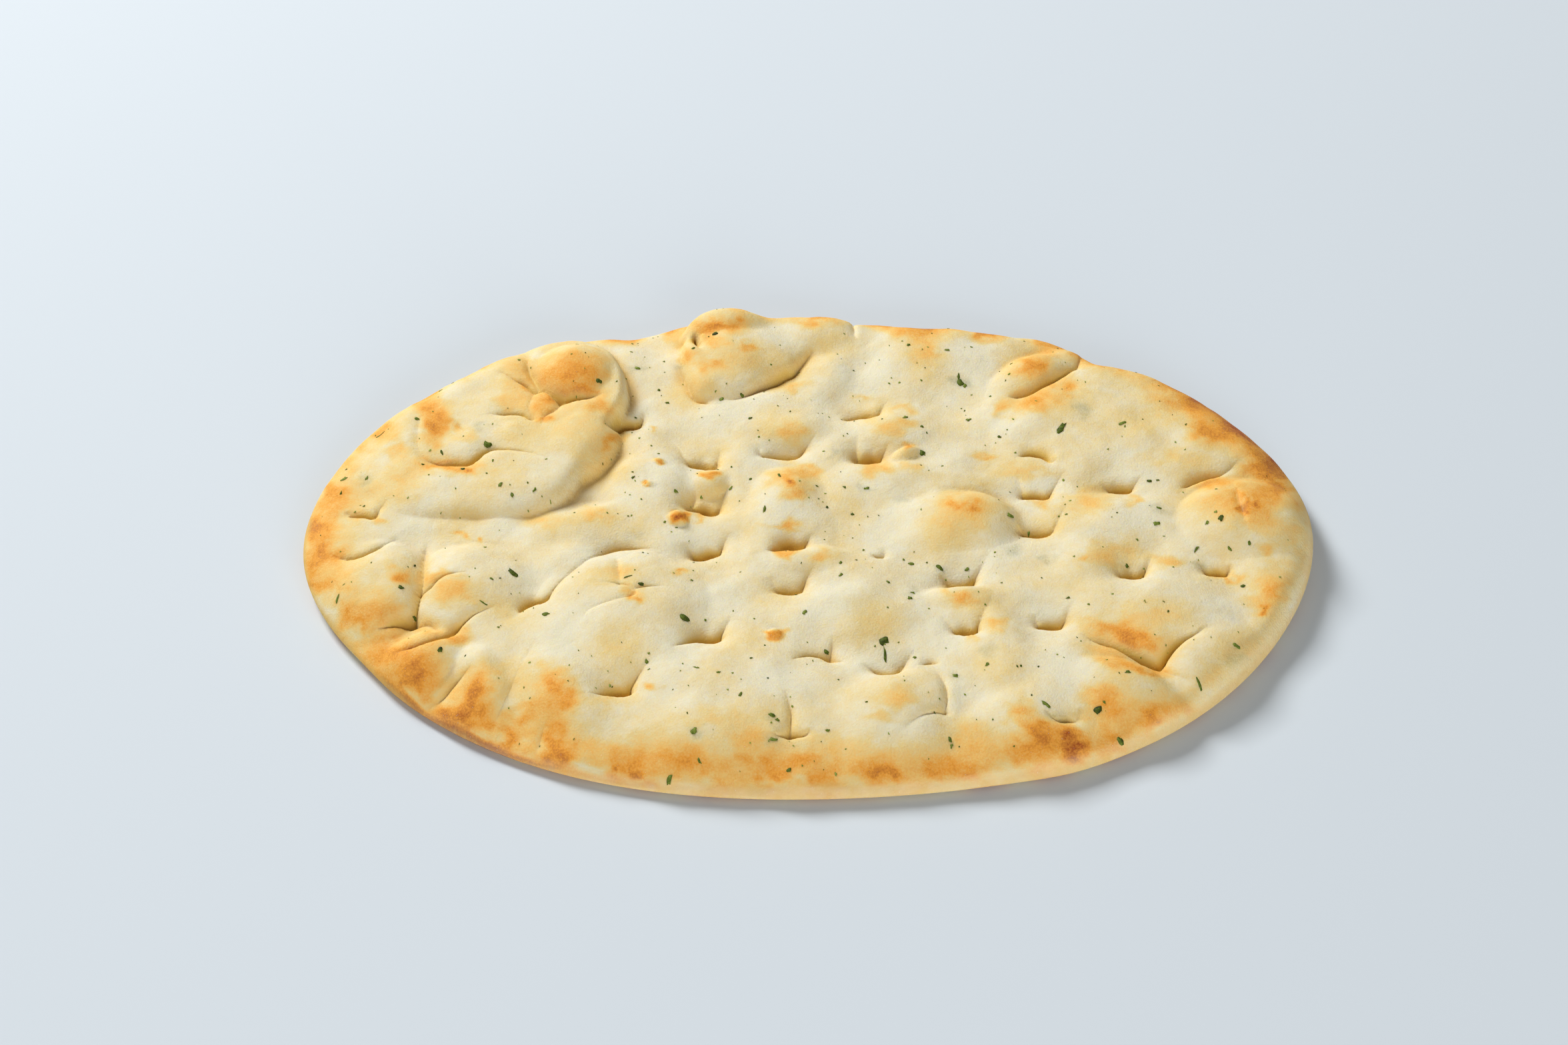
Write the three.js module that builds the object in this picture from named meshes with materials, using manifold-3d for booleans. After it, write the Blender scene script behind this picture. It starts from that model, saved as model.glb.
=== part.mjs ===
// Garlic naan: a flat oval bread with a rolled rim, oven blisters, folds, docking dimples and
// flakes of chopped coriander baked onto the crust. It is one solid.
// Millimetres, +Z up. The origin is on the table under the middle, and the long way is along X.
import * as THREE from 'three';
import { mergeVertices } from 'three/addons/utils/BufferGeometryUtils.js';
import Module from 'manifold-3d';

// Driving dimensions
const LENGTH = 241;
const WIDTH = 166.5;
const CRUST_LEVEL = 11;
const BLISTER_FOOT = 10;
const UNDER_ROLL = 0.05;

// The rim's profile by bearing, full at the back and the ends and thin at the front: the height of its
// edge, the share that rolls over, how far the crust falls towards it, and the share that falls
const RIM_PROFILE = [
  [0, 3.6, 0.085, 1.6, 0.26], [40, 3.6, 0.11, 1.6, 0.26], [186, 3.6, 0.11, 1.6, 0.26],
  [200, 2.8, 0.083, 3.8, 0.25], [210, 2.4, 0.052, 6.2, 0.23], [225, 1.8, 0.025, 8.4, 0.22],
  [280, 1.8, 0.028, 7.6, 0.22], [305, 1.8, 0.05, 4.4, 0.22], [325, 2.2, 0.062, 2.4, 0.24],
  [345, 2.9, 0.075, 1.6, 0.26], [360, 3.6, 0.085, 1.6, 0.26],
];

// Where the middle of the bread lies on the survey that the features below are placed on
const SURVEY_MIDDLE = [0.2, 3.7];

// Lumps of the dough
const LUMP_RISE = 0.45;
const LUMP_LENGTH = 26;

// Mesh fineness
const RIM_POINTS = 216;
const ROLL_BAND = 0.11;
const ROLL_RINGS = 5;
const CRUST_RINGS = 30;
const UNDER_RINGS = 3;
const BASE_POINTS = 24;
const BASE_RING = 0.6;
const CURVE_STEPS = 6;

// Dimple left by a docking pin: the slopes of its far, near and side walls
const FAR_WALL = 1.15;
const NEAR_WALL = 2.3;
const SIDE_WALL = 1.3;
const FLOOR_WIDTH = 1.3;
const FLOOR_ROUND = 0.5;
const DIMPLE_BLEND = 2;
const DIMPLE_SWAY = 0.25;
const SAG = { depth: 1, length: 11, width: 9 };
const WELT = { rise: 0.8, ahead: 4.6, length: 7, width: 2.2 };

// Coriander flakes
const FLAKE_SIDES = 6;
const FLAKE_PROUD = 0.55;
const FLAKE_ROOT = 1.6;
const SCATTERED_FLAKES = 26;
const FLAKE_SPACING = 17;
const FLAKE_SEED = 71;

// Swellings of uneven outline: places on it, each with the flank's width and the shoulder's height
const SWELLINGS = [
  // upper left, steep on its right side and gentle towards the left rim
  [
    [-50, 68, 6, 15.5], [-46.5, 61, 4, 16.5], [-44.5, 54, 3, 17], [-44, 47, 3, 17], [-45, 42, 3, 16.6],
    [-47, 37, 3, 16.4], [-49, 31, 3, 16.4], [-51.5, 24, 3.6, 16.2], [-55, 16, 5.5, 16], [-59, 9, 9, 15.8],
    [-66, 5, 11, 15.6], [-76, 4.5, 12, 15.4], [-88, 5, 12, 14.6], [-99, 7, 12, 13.6], [-106, 16, 12, 13],
    [-108, 27, 12, 12.8], [-102, 42, 12, 13.4], [-92, 55, 10, 13.8], [-78, 68, 10, 14.4], [-62, 74, 10, 15],
  ],
  // on the back edge, with a steep left side
  [
    [-31.4, 70, 5, 15.4], [-31.6, 63, 4.5, 15.2], [-30.8, 58, 5, 15], [-29.3, 53.5, 6, 14.8],
    [-27, 50, 8, 14.8], [-22, 49.3, 10, 15], [-17.5, 50, 10, 15.2], [-13.5, 52, 9, 15], [-8.5, 56, 7, 14.6],
    [-4, 59, 6, 14.2], [-1.2, 63, 7, 13.8], [3, 68, 9, 13.8], [7, 75, 9, 14], [-2, 83, 7, 14.6],
    [-18, 85, 7, 16], [-28, 79, 6, 16],
  ],
];
const SWELLING_BLEND = 1;

// Blisters: middle, half sizes, turn in degrees, top height, fullness (a low value has a steep
// foot), blend with the crust, and the bearing and amount of the softer side
const BLISTERS = [
  // upper left: cap, right lobe, mound and ridges
  { at: [-56.5, 54.5], size: [11.5, 12.5], turn: 0, top: 20.6, fullness: 0.55, blend: 0.8, soft: [130, 0.4] },
  { at: [-55.5, 31], size: [10, 14], turn: -18, top: 17.6, fullness: 0.6, blend: 0.8, soft: [200, 0.5] },
  { at: [-71.5, 32], size: [8.5, 7.5], turn: 0, top: 16.4, fullness: 0.7, blend: 1, soft: [0, 0] },
  { at: [-73, 55], size: [9, 11], turn: 0, top: 15.8, fullness: 0.9, blend: 1.5, soft: [180, 0.5] },
  { at: [-96, 36], size: [8, 18], turn: 14, top: 14.4, fullness: 1, blend: 2.5, soft: [0, 0] },
  // back edge
  { at: [-18, 66], size: [14, 12], turn: 10, top: 17.2, fullness: 0.9, blend: 3, soft: [30, 0.3] },
  { at: [-20, 76], size: [12, 8], turn: 15, top: 19, fullness: 0.7, blend: 1.5, soft: [30, 0.5] },
  { at: [11, 75], size: [14, 9], turn: 0, top: 15.6, fullness: 0.8, blend: 2, soft: [0, 0] },
  { at: [6, 61], size: [6, 10], turn: -30, top: 12.6, fullness: 1, blend: 3, soft: [0, 0] },
  { at: [30, 69], size: [20, 14], turn: -10, top: 14, fullness: 1, blend: 4, soft: [0, 0] },
  // upper right swelling with a crease across it
  { at: [72, 46], size: [30, 27], turn: 30, top: 14.4, fullness: 0.6, blend: 1.5, soft: [-20, 0.8] },
  { at: [57, 58.5], size: [14, 8.5], turn: 36, top: 15.4, fullness: 0.9, blend: 1.6, soft: [0, 0] },
  { at: [60, 43], size: [17, 10], turn: 36, top: 15.2, fullness: 0.8, blend: 1.5, soft: [-20, 0.6] },
  // right end
  { at: [103, 5], size: [16, 14], turn: 20, top: 16.2, fullness: 0.7, blend: 1.8, soft: [0, 0.2] },
  { at: [98, 32], size: [16, 12], turn: -45, top: 13.8, fullness: 1, blend: 4, soft: [0, 0] },
  // lower right, either side of the V fold
  { at: [73, -52], size: [15, 8], turn: -22, top: 14.2, fullness: 0.8, blend: 2, soft: [-90, 0.5] },
  { at: [92, -41], size: [11, 14], turn: -35, top: 14, fullness: 0.8, blend: 2, soft: [-30, 0.5] },
  { at: [80, -25], size: [18, 10], turn: 0, top: 12.8, fullness: 0.9, blend: 2.5, soft: [90, 0.5] },
  { at: [52, -64], size: [13, 11], turn: -10, top: 13.2, fullness: 0.9, blend: 3, soft: [0, 0] },
  // left end, split by creases
  { at: [-80, -19], size: [13.5, 15], turn: -12, top: 15.6, fullness: 0.6, blend: 0.8, soft: [0, 0.3] },
  { at: [-99, -18], size: [10, 16], turn: 5, top: 15, fullness: 0.8, blend: 1, soft: [180, 0.8] },
  { at: [-90, -41], size: [13, 8], turn: 28, top: 14.2, fullness: 0.8, blend: 1.2, soft: [-120, 0.6] },
  // left of the middle, and the ribs of the front left rim
  { at: [-43, -26], size: [20, 20], turn: 30, top: 15, fullness: 0.7, blend: 2.2, soft: [-110, 0.8] },
  { at: [-74, -49], size: [5.5, 12], turn: 22, top: 13.6, fullness: 0.9, blend: 2, soft: [0, 0] },
  { at: [-57, -52], size: [9, 14], turn: 15, top: 13.8, fullness: 0.9, blend: 3, soft: [0, 0.6] },
  // middle and front
  { at: [-5, 12], size: [9, 12], turn: 0, top: 14.6, fullness: 0.8, blend: 2.5, soft: [-90, 0.8] },
  { at: [38, 4], size: [13, 11], turn: 0, top: 15.6, fullness: 0.8, blend: 1.8, soft: [180, 0.4] },
  { at: [20, -57], size: [12.5, 10.5], turn: 10, top: 13.9, fullness: 0.9, blend: 2.6, soft: [-90, 0.5] },
  { at: [-22, -68], size: [14, 9], turn: 0, top: 12.8, fullness: 1, blend: 4, soft: [0, 0] },
  { at: [21, 38], size: [10, 7], turn: 0, top: 13.4, fullness: 0.9, blend: 2.5, soft: [90, 0.5] },
  { at: [-4, 39], size: [9, 6.5], turn: 0, top: 13.2, fullness: 0.9, blend: 2.5, soft: [90, 0.5] },
  { at: [-24, 18.5], size: [5, 5], turn: 0, top: 13.8, fullness: 0.8, blend: 2, soft: [90, 0.5] },
  { at: [-36, 18], size: [10, 14], turn: 0, top: 13.2, fullness: 1, blend: 4, soft: [0, 0] },
  { at: [18, 19], size: [13, 8], turn: 0, top: 13.2, fullness: 1, blend: 3, soft: [0, 0] },
  { at: [74, 5], size: [15, 9], turn: 0, top: 13.2, fullness: 1, blend: 3, soft: [0, 0] },
  { at: [66, -9], size: [8, 9], turn: 0, top: 12.9, fullness: 1, blend: 3, soft: [0, 0] },
  { at: [36, -22], size: [9, 5], turn: 0, top: 13.2, fullness: 0.9, blend: 2, soft: [0, 0] },
  { at: [0, -9], size: [11, 5], turn: 0, top: 13.2, fullness: 0.9, blend: 2, soft: [0, 0] },
  { at: [8, -27], size: [16, 8], turn: 0, top: 12.8, fullness: 1, blend: 4, soft: [0, 0] },
  { at: [-20, -50], size: [18, 13], turn: -15, top: 13, fullness: 1, blend: 4, soft: [0, 0] },
  { at: [43, -38], size: [7, 12], turn: 10, top: 12.8, fullness: 1, blend: 3, soft: [0, 0] },
  { at: [-52, 3], size: [14, 7], turn: 5, top: 12.8, fullness: 1, blend: 3, soft: [0, 0] },
];

// Docking dimples, in the rows that the roller left: middle, floor height and breadth
const DIMPLES = [
  { at: [13, 46.5], floor: 6, breadth: 1 },
  { at: [-44.5, 43], floor: 6, breadth: 1 },
  { at: [55, 33.5], floor: 6, breadth: 1.1 },
  { at: [-25.5, 28], floor: 5.5, breadth: 1.2 },
  { at: [-6.5, 32], floor: 5.5, breadth: 1.1 },
  { at: [14.5, 30.5], floor: 5, breadth: 1.1 },
  { at: [-84.5, 25], floor: 10, breadth: 0.9 },
  { at: [53.5, 17.2], floor: 5, breadth: 1.1 },
  { at: [75, 19.5], floor: 5, breadth: 1.1 },
  { at: [94, 21.5], floor: 6, breadth: 1.3 },
  { at: [-105.5, 10], floor: 6.5, breadth: 1 },
  { at: [-24.5, 11.5], floor: 5.5, breadth: 1 },
  { at: [-106, -4.5], floor: 6.5, breadth: 1 },
  { at: [-43, -0.5], floor: 7, breadth: 1.1 },
  { at: [-24.5, -4], floor: 5, breadth: 1.1 },
  { at: [-5, -1], floor: 5, breadth: 1.1 },
  { at: [16.5, -4.5], floor: 8.5, breadth: 0.8 },
  { at: [55, 2.7], floor: 5, breadth: 1.1 },
  { at: [-64, -21], floor: 5.5, breadth: 1 },
  { at: [-4.5, -16.8], floor: 5.5, breadth: 1 },
  { at: [35.5, -14.7], floor: 5, breadth: 1.1 },
  { at: [75.5, -11.3], floor: 5, breadth: 1.1 },
  { at: [95, -10.8], floor: 5, breadth: 1.1 },
  { at: [-23.5, -33], floor: 5, breadth: 1.1 },
  { at: [36.5, -30], floor: 5, breadth: 1 },
  { at: [54.5, -29.5], floor: 5, breadth: 1.1 },
  { at: [-42.5, -50.5], floor: 5, breadth: 1.1 },
  { at: [4.5, -38.5], floor: 8, breadth: 0.9 },
  { at: [17.5, -44], floor: 5.5, breadth: 0.9 },
  { at: [28, -40.5], floor: 8.5, breadth: 0.8 },
  { at: [-3, -64], floor: 6, breadth: 0.9 },
  { at: [58, -59.5], floor: 7, breadth: 0.9 },
];

// Folds of the crust: the run of each, its depth and its half width
const FOLDS = [
  { run: [[-69, 61], [-69, 52], [-66, 47]], depth: 1.8, width: 2 },
  { run: [[-74, 52], [-67, 47], [-62, 43], [-52, 44]], depth: 1.8, width: 2 },
  { run: [[-82, 27], [-78, 27.5], [-72, 27], [-62, 24]], depth: 1.4, width: 2 },
  { run: [[-91, -6], [-91, -18], [-90.5, -31]], depth: 3, width: 2.4 },
  { run: [[-98, -33], [-94, -31.5], [-90, -31.5], [-85, -33]], depth: 2, width: 2.2 },
  { run: [[-95, -41], [-88, -36], [-82, -34.5], [-76, -27], [-70, -24]], depth: 2.4, width: 2.2 },
  { run: [[-22, 49], [-14, 51.5], [-8, 55], [-3.5, 57.5], [1, 66]], depth: 1.8, width: 1.8 },
  { run: [[50, 47], [56, 48.5], [61, 52.5], [69, 61]], depth: 2.2, width: 2.2 },
  { run: [[62, -35], [70, -39], [79, -44]], depth: 3.4, width: 2.6 },
  { run: [[79, -44], [83, -39], [89, -33]], depth: 3.4, width: 2.6 },
  { run: [[30, -46], [31.5, -54], [30, -61], [22, -66]], depth: 1.6, width: 2 },
  { run: [[-80, -46], [-84, -56], [-87, -60]], depth: 2.5, width: 3 },
  { run: [[-66, -47], [-68, -58], [-70, -66]], depth: 2, width: 3 },
  { run: [[-5, -50], [-4, -64]], depth: 1.6, width: 2.4 },
];

// The largest coriander flakes: place, half length, half width and turn in degrees
const LARGE_FLAKES = [
  { at: [17.5, -40], half: [4.6, 0.9], turn: 88 },
  { at: [17.5, -35.6], half: [1.9, 1.3], turn: 20 },
  { at: [62, 33], half: [3, 1.1], turn: 68 },
  { at: [38, 54], half: [2.2, 1.6], turn: 75 },
  { at: [77, 36], half: [1.6, 0.9], turn: 40 },
  { at: [-69, -15], half: [2.1, 1.3], turn: -30 },
  { at: [-28, -29], half: [1.6, 1.2], turn: 0 },
  { at: [27.5, 26], half: [1.5, 1.2], turn: 60 },
  { at: [64.5, -60], half: [1.6, 1.1], turn: 15 },
  { at: [-78, 29], half: [1.7, 1.1], turn: -15 },
  { at: [98, -1], half: [1.3, 1.1], turn: 70 },
  { at: [-31, -76], half: [1.3, 1.1], turn: 60 },
  { at: [-25, -66], half: [1.5, 1], turn: 40 },
  { at: [-51, 48], half: [1.4, 0.8], turn: 30 },
];

// Nudges of the outline outward, by bearing in degrees from the right end
const RIM_NUDGES = [
  [0, 0.6], [20, 0.6], [38, 0.6], [46, 0], [52, -2.2], [57, 1], [62, 3.6], [66, 1.6], [72, 0.2], [76, -0.6],
  [81, 1.8], [90, 2.6], [96, -0.4], [104, 3.2], [111, 0], [118, 1.2], [130, 0.8], [158, 0.6], [180, 0.2],
  [201, -0.4], [219, 0.4], [230, 0.2], [260, -0.2], [288, 0], [298, 1.4], [308, 1.2], [321, 0.9],
  [338, 1.2], [360, 0.6],
];

const CRUST_COLOUR = 0xe3cb96;

const degrees = THREE.MathUtils.degToRad;

// Values of a table at the angle t, eased from one bearing to the next
function byBearing(table, t) {
  const bearing = THREE.MathUtils.euclideanModulo(THREE.MathUtils.radToDeg(t), 360);
  const next = table.findIndex(([place]) => place > bearing);
  const [start, ...first] = table[next - 1];
  const [end, ...second] = table[next];
  const share = THREE.MathUtils.smoothstep(bearing, start, end);
  return first.map((value, i) => THREE.MathUtils.lerp(value, second[i], share));
}

// Plan outline before it is fitted: an oval with a few slow waves and the nudges, at the angle t
function ovalPoint(t) {
  const reach = 1 - 0.012 * Math.cos(2 * t) + 0.012 * Math.sin(3 * t)
    - 0.008 * Math.cos(4 * t) + 0.008 * Math.cos(6 * t - 0.6);
  const [nudge] = byBearing(RIM_NUDGES, t);
  return [
    (reach * LENGTH / 2 + nudge) * Math.cos(t),
    (reach * WIDTH / 2 + nudge) * Math.sin(t),
  ];
}

// Box of that outline, used to bring it to the driving length and width
function ovalBox() {
  const box = new THREE.Box2();
  for (let i = 0; i < 3600; i += 1) {
    box.expandByPoint(new THREE.Vector2(...ovalPoint(degrees(i / 10))));
  }
  return { middle: box.getCenter(new THREE.Vector2()), size: box.getSize(new THREE.Vector2()) };
}

const OVAL = ovalBox();

// Point of the rim at the angle t
function rimPoint(t) {
  const [x, y] = ovalPoint(t);
  return [
    (x - OVAL.middle.x) * LENGTH / OVAL.size.x,
    (y - OVAL.middle.y) * WIDTH / OVAL.size.y,
  ];
}

// Larger of two heights with the corner between them rounded
function roundedMax(a, b, blend) {
  const near = Math.max(0, 1 - Math.abs(a - b) / blend);
  return Math.max(a, b) + near * near * blend / 4;
}

// Smaller of two heights with the corner between them rounded
function roundedMin(a, b, blend) {
  return -roundedMax(-a, -b, blend);
}

// Slow lumps of the dough, from ripples that run in evenly turned directions
function lumps(x, y) {
  const ripples = 7;
  const first = 0.9;
  let sum = 0;
  for (let i = 0; i < ripples; i += 1) {
    const bearing = first + 2.4 * i;
    const rate = 2 * Math.PI / LUMP_LENGTH * (0.8 + 0.5 * ((0.618 * i) % 1));
    sum += Math.sin(rate * (Math.cos(bearing) * x + Math.sin(bearing) * y) + first * 3 + 1.7 * i * i);
  }
  return sum * Math.sqrt(2 / ripples);
}

// Height of one blister's dome at a place, falling below the crust outside its foot
function blisterHeight({ at, size, turn, top, fullness, soft }, x, y) {
  const dx = x - at[0];
  const dy = y - at[1];
  const c = Math.cos(degrees(turn));
  const s = Math.sin(degrees(turn));
  const toward = Math.max(0, Math.cos(Math.atan2(dy, dx) - degrees(soft[0])));
  const lean = soft[1] * toward * toward;
  const reach = Math.hypot((c * dx + s * dy) / size[0], (c * dy - s * dx) / size[1]) / (1 + lean);
  const fall = 1 - reach * reach;
  return BLISTER_FOOT + (top - BLISTER_FOOT) * Math.sign(fall) * Math.abs(fall) ** (fullness + lean);
}

// Height of one swelling at a place: a rounded flank inside its outline, falling away outside
function swellingHeight(outline, x, y) {
  let nearest = Infinity;
  let inside = false;
  let weight = 0;
  let flank = 0;
  let top = 0;
  outline.forEach(([startX, startY, width, shoulder], i) => {
    const [endX, endY] = outline[(i + 1) % outline.length];
    const stepX = endX - startX;
    const stepY = endY - startY;
    const dx = x - startX;
    const dy = y - startY;
    const along = THREE.MathUtils.clamp((dx * stepX + dy * stepY) / (stepX ** 2 + stepY ** 2), 0, 1);
    nearest = Math.min(nearest, Math.hypot(dx - along * stepX, dy - along * stepY));
    if ((startY > y) !== (endY > y) && dx < stepX * dy / stepY) {
      inside = !inside;
    }
    const pull = (dx ** 2 + dy ** 2 + 9) ** -2;
    weight += pull;
    flank += pull * width;
    top += pull * shoulder;
  });
  if (!inside) {
    return BLISTER_FOOT - 2 * nearest;
  }
  const rise = Math.min(1, nearest * weight / flank);
  return BLISTER_FOOT + (top / weight - BLISTER_FOOT) * Math.sqrt(1 - (1 - rise) ** 2);
}

// Smooth curve through a fold's few points, as short straight steps
function foldSteps(run) {
  const curve = new THREE.CatmullRomCurve3(run.map(([x, y]) => new THREE.Vector3(x, y, 0)));
  return curve.getPoints(CURVE_STEPS * (run.length - 1));
}

const FOLD_STEPS = FOLDS.map((fold) => foldSteps(fold.run));

// Depth of one fold at a place, shallower toward both ends
function foldDepth(fold, steps, x, y) {
  const place = new THREE.Vector3(x, y, 0);
  const foot = new THREE.Vector3();
  const step = new THREE.Line3();
  let nearest = Infinity;
  let share = 0;
  for (let i = 0; i + 1 < steps.length; i += 1) {
    step.set(steps[i], steps[i + 1]);
    const along = step.closestPointToPointParameter(place, true);
    const distance = step.at(along, foot).distanceTo(place);
    if (distance < nearest) {
      nearest = distance;
      share = (i + along) / (steps.length - 1);
    }
  }
  const taper = Math.min(1, 5 * Math.min(share, 1 - share) + 0.25);
  return fold.depth * taper * Math.exp(-nearest / fold.width);
}

// Crust height after one dimple has drawn it down, with a low welt in front of the hole
function dimpled(height, { at, floor, breadth }, order, x, y) {
  const turn = DIMPLE_SWAY * Math.sin(2.4 * order);
  const across = (x - at[0]) * Math.cos(turn) + (y - at[1]) * Math.sin(turn);
  const away = (y - at[1]) * Math.cos(turn) - (x - at[0]) * Math.sin(turn);
  const sag = SAG.depth * Math.exp(-((across / SAG.length) ** 2) - (away / SAG.width) ** 2);
  const welt = WELT.rise
    * Math.exp(-((across / WELT.length) ** 2) - ((away + WELT.ahead) / WELT.width) ** 2);
  const side = Math.max(0, Math.abs(across) - FLOOR_WIDTH * breadth) * SIDE_WALL;
  const run = away > 0 ? away * FAR_WALL : -away * NEAR_WALL;
  const wall = Math.sqrt(side * side + run * run + FLOOR_ROUND) - Math.sqrt(FLOOR_ROUND);
  return roundedMin(height - sag + welt, floor + wall / breadth, DIMPLE_BLEND);
}

// Height of the open crust at a place on the survey, before the rim rolls it under
function crustHeight(x, y) {
  let height = CRUST_LEVEL + LUMP_RISE * lumps(x, y);
  SWELLINGS.forEach((outline) => {
    height = roundedMax(height, swellingHeight(outline, x, y), SWELLING_BLEND);
  });
  BLISTERS.forEach((blister) => {
    height = roundedMax(height, blisterHeight(blister, x, y), blister.blend);
  });
  FOLDS.forEach((fold, i) => {
    height -= foldDepth(fold, FOLD_STEPS[i], x, y);
  });
  DIMPLES.forEach((dimple, i) => {
    height = dimpled(height, dimple, i, x, y);
  });
  return height;
}

// Point of the top crust at the angle t, the share s of the way from the middle to the rim
function crustPoint(t, s) {
  const [rimX, rimY] = rimPoint(t);
  const [edge, rolled, drop, reach] = byBearing(RIM_PROFILE, t);
  const inward = Math.min(1, (1 - s) / rolled);
  const roll = Math.sqrt(1 - (1 - inward) ** 2.3);
  const fall = drop * (1 - Math.min(1, (1 - s) / reach)) ** 2;
  const height = crustHeight(rimX * s + SURVEY_MIDDLE[0], rimY * s + SURVEY_MIDDLE[1]) - fall;
  return [rimX * s, rimY * s, edge + (height - edge) * roll];
}

// Point of the underside, which curves from the edge down to the flat base
function underPoint(t, s) {
  const [rimX, rimY] = rimPoint(t);
  const [edge] = byBearing(RIM_PROFILE, t);
  const inward = Math.min(1, (1 - s) / UNDER_ROLL);
  return [rimX * s, rimY * s, edge * (1 - Math.sqrt(1 - (1 - inward) ** 2))];
}

// Adds one ring of points and returns where it starts and how many it has
function addRing(points, count, pointAt) {
  const ring = { start: points.length, count };
  for (let i = 0; i < count; i += 1) {
    points.push(pointAt(2 * Math.PI * i / count));
  }
  return ring;
}

// Strip of triangles between two rings, whatever their counts
function stitch(triangles, outer, inner, upward) {
  let i = 0;
  let j = 0;
  const add = (a, b, c) => triangles.push(upward ? [a, b, c] : [b, a, c]);
  while (i < outer.count || j < inner.count) {
    const a = outer.start + i % outer.count;
    const b = inner.start + j % inner.count;
    const outerNext = j >= inner.count
      || (i < outer.count && (i + 1) * inner.count <= (j + 1) * outer.count);
    if (outerNext) {
      i += 1;
      add(a, outer.start + i % outer.count, b);
    } else {
      j += 1;
      add(a, inner.start + j % inner.count, b);
    }
  }
}

// Fan of triangles that closes the last ring onto one point
function closeRing(points, triangles, ring, middle, upward) {
  const centre = points.length;
  points.push(middle);
  for (let i = 0; i < ring.count; i += 1) {
    const a = ring.start + i;
    const b = ring.start + (i + 1) % ring.count;
    triangles.push(upward ? [a, b, centre] : [b, a, centre]);
  }
}

// Geometry from points and triangles
function geometryOf(points, triangles) {
  const geometry = new THREE.BufferGeometry();
  geometry.setAttribute('position', new THREE.Float32BufferAttribute(points.flat(), 3));
  geometry.setIndex(triangles.flat());
  return geometry;
}

// The bread itself: crust rings from the rim to the middle, then underside rings to the flat base
function breadGeometry() {
  const points = [];
  const triangles = [];
  const edge = addRing(points, RIM_POINTS, (t) => crustPoint(t, 1));
  let last = edge;
  for (let i = 1; i <= ROLL_RINGS; i += 1) {
    const s = 1 - ROLL_BAND * (1 - Math.cos(0.5 * Math.PI * i / ROLL_RINGS));
    const ring = addRing(points, RIM_POINTS, (t) => crustPoint(t, s));
    stitch(triangles, last, ring, true);
    last = ring;
  }
  for (let i = 1; i < CRUST_RINGS; i += 1) {
    const s = (1 - ROLL_BAND) * (1 - i / CRUST_RINGS);
    const count = Math.max(8, Math.round(RIM_POINTS * s));
    const ring = addRing(points, count, (t) => crustPoint(t, s));
    stitch(triangles, last, ring, true);
    last = ring;
  }
  closeRing(points, triangles, last, crustPoint(0, 0), true);
  last = edge;
  for (let i = 1; i <= UNDER_RINGS; i += 1) {
    const s = 1 - UNDER_ROLL * (1 - Math.cos(0.5 * Math.PI * i / UNDER_RINGS));
    const ring = addRing(points, RIM_POINTS, (t) => underPoint(t, s));
    stitch(triangles, last, ring, false);
    last = ring;
  }
  const base = addRing(points, BASE_POINTS, (t) => underPoint(t, BASE_RING));
  stitch(triangles, last, base, false);
  closeRing(points, triangles, base, [0, 0, 0], false);
  return geometryOf(points, triangles);
}

// Share of the way from the middle to the rim that a place lies at, and its angle
function rimShare(x, y) {
  let t = Math.atan2(y / WIDTH, x / LENGTH);
  for (let i = 0; i < 8; i += 1) {
    const [rimX, rimY] = rimPoint(t);
    t += Math.atan2(y / WIDTH, x / LENGTH) - Math.atan2(rimY / WIDTH, rimX / LENGTH);
  }
  const [rimX, rimY] = rimPoint(t);
  return { t, share: Math.min(1, Math.hypot(x, y) / Math.hypot(rimX, rimY)) };
}

// Point of the finished crust over a place
function crustOver(x, y) {
  const { t, share } = rimShare(x, y);
  return new THREE.Vector3(...crustPoint(t, share));
}

// Geometry with only positions, its shared corners merged
function mergedGeometry(geometry) {
  const bare = geometry.clone();
  bare.deleteAttribute('normal');
  bare.deleteAttribute('uv');
  return mergeVertices(bare);
}

// A flake as a thin six-sided chip lying on the crust, rooted in it
function flakeGeometry({ at, half, turn }) {
  const probe = 1.5;
  const here = crustOver(at[0], at[1]);
  const alongX = crustOver(at[0] + probe, at[1]).sub(crustOver(at[0] - probe, at[1]));
  const alongY = crustOver(at[0], at[1] + probe).sub(crustOver(at[0], at[1] - probe));
  const up = alongX.cross(alongY).normalize();
  const chip = mergedGeometry(
    new THREE.CylinderGeometry(1, 1, FLAKE_PROUD + FLAKE_ROOT, FLAKE_SIDES),
  );
  chip.rotateX(Math.PI / 2);
  chip.scale(half[0], half[1], 1);
  chip.rotateZ(degrees(turn));
  chip.translate(0, 0, (FLAKE_PROUD - FLAKE_ROOT) / 2);
  chip.applyQuaternion(new THREE.Quaternion().setFromUnitVectors(new THREE.Vector3(0, 0, 1), up));
  chip.translate(here.x, here.y, here.z);
  return chip;
}

// The largest flakes, moved from the survey to the part
const PLACED_FLAKES = LARGE_FLAKES.map((flake) => ({
  ...flake,
  at: flake.at.map((place, i) => place - SURVEY_MIDDLE[i]),
}));

// Seeded draw between 0 and 1
function seededDraw(seed) {
  let state = seed;
  return () => {
    state = (state * 1664525 + 1013904223) % 4294967296;
    return state / 4294967296;
  };
}

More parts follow.
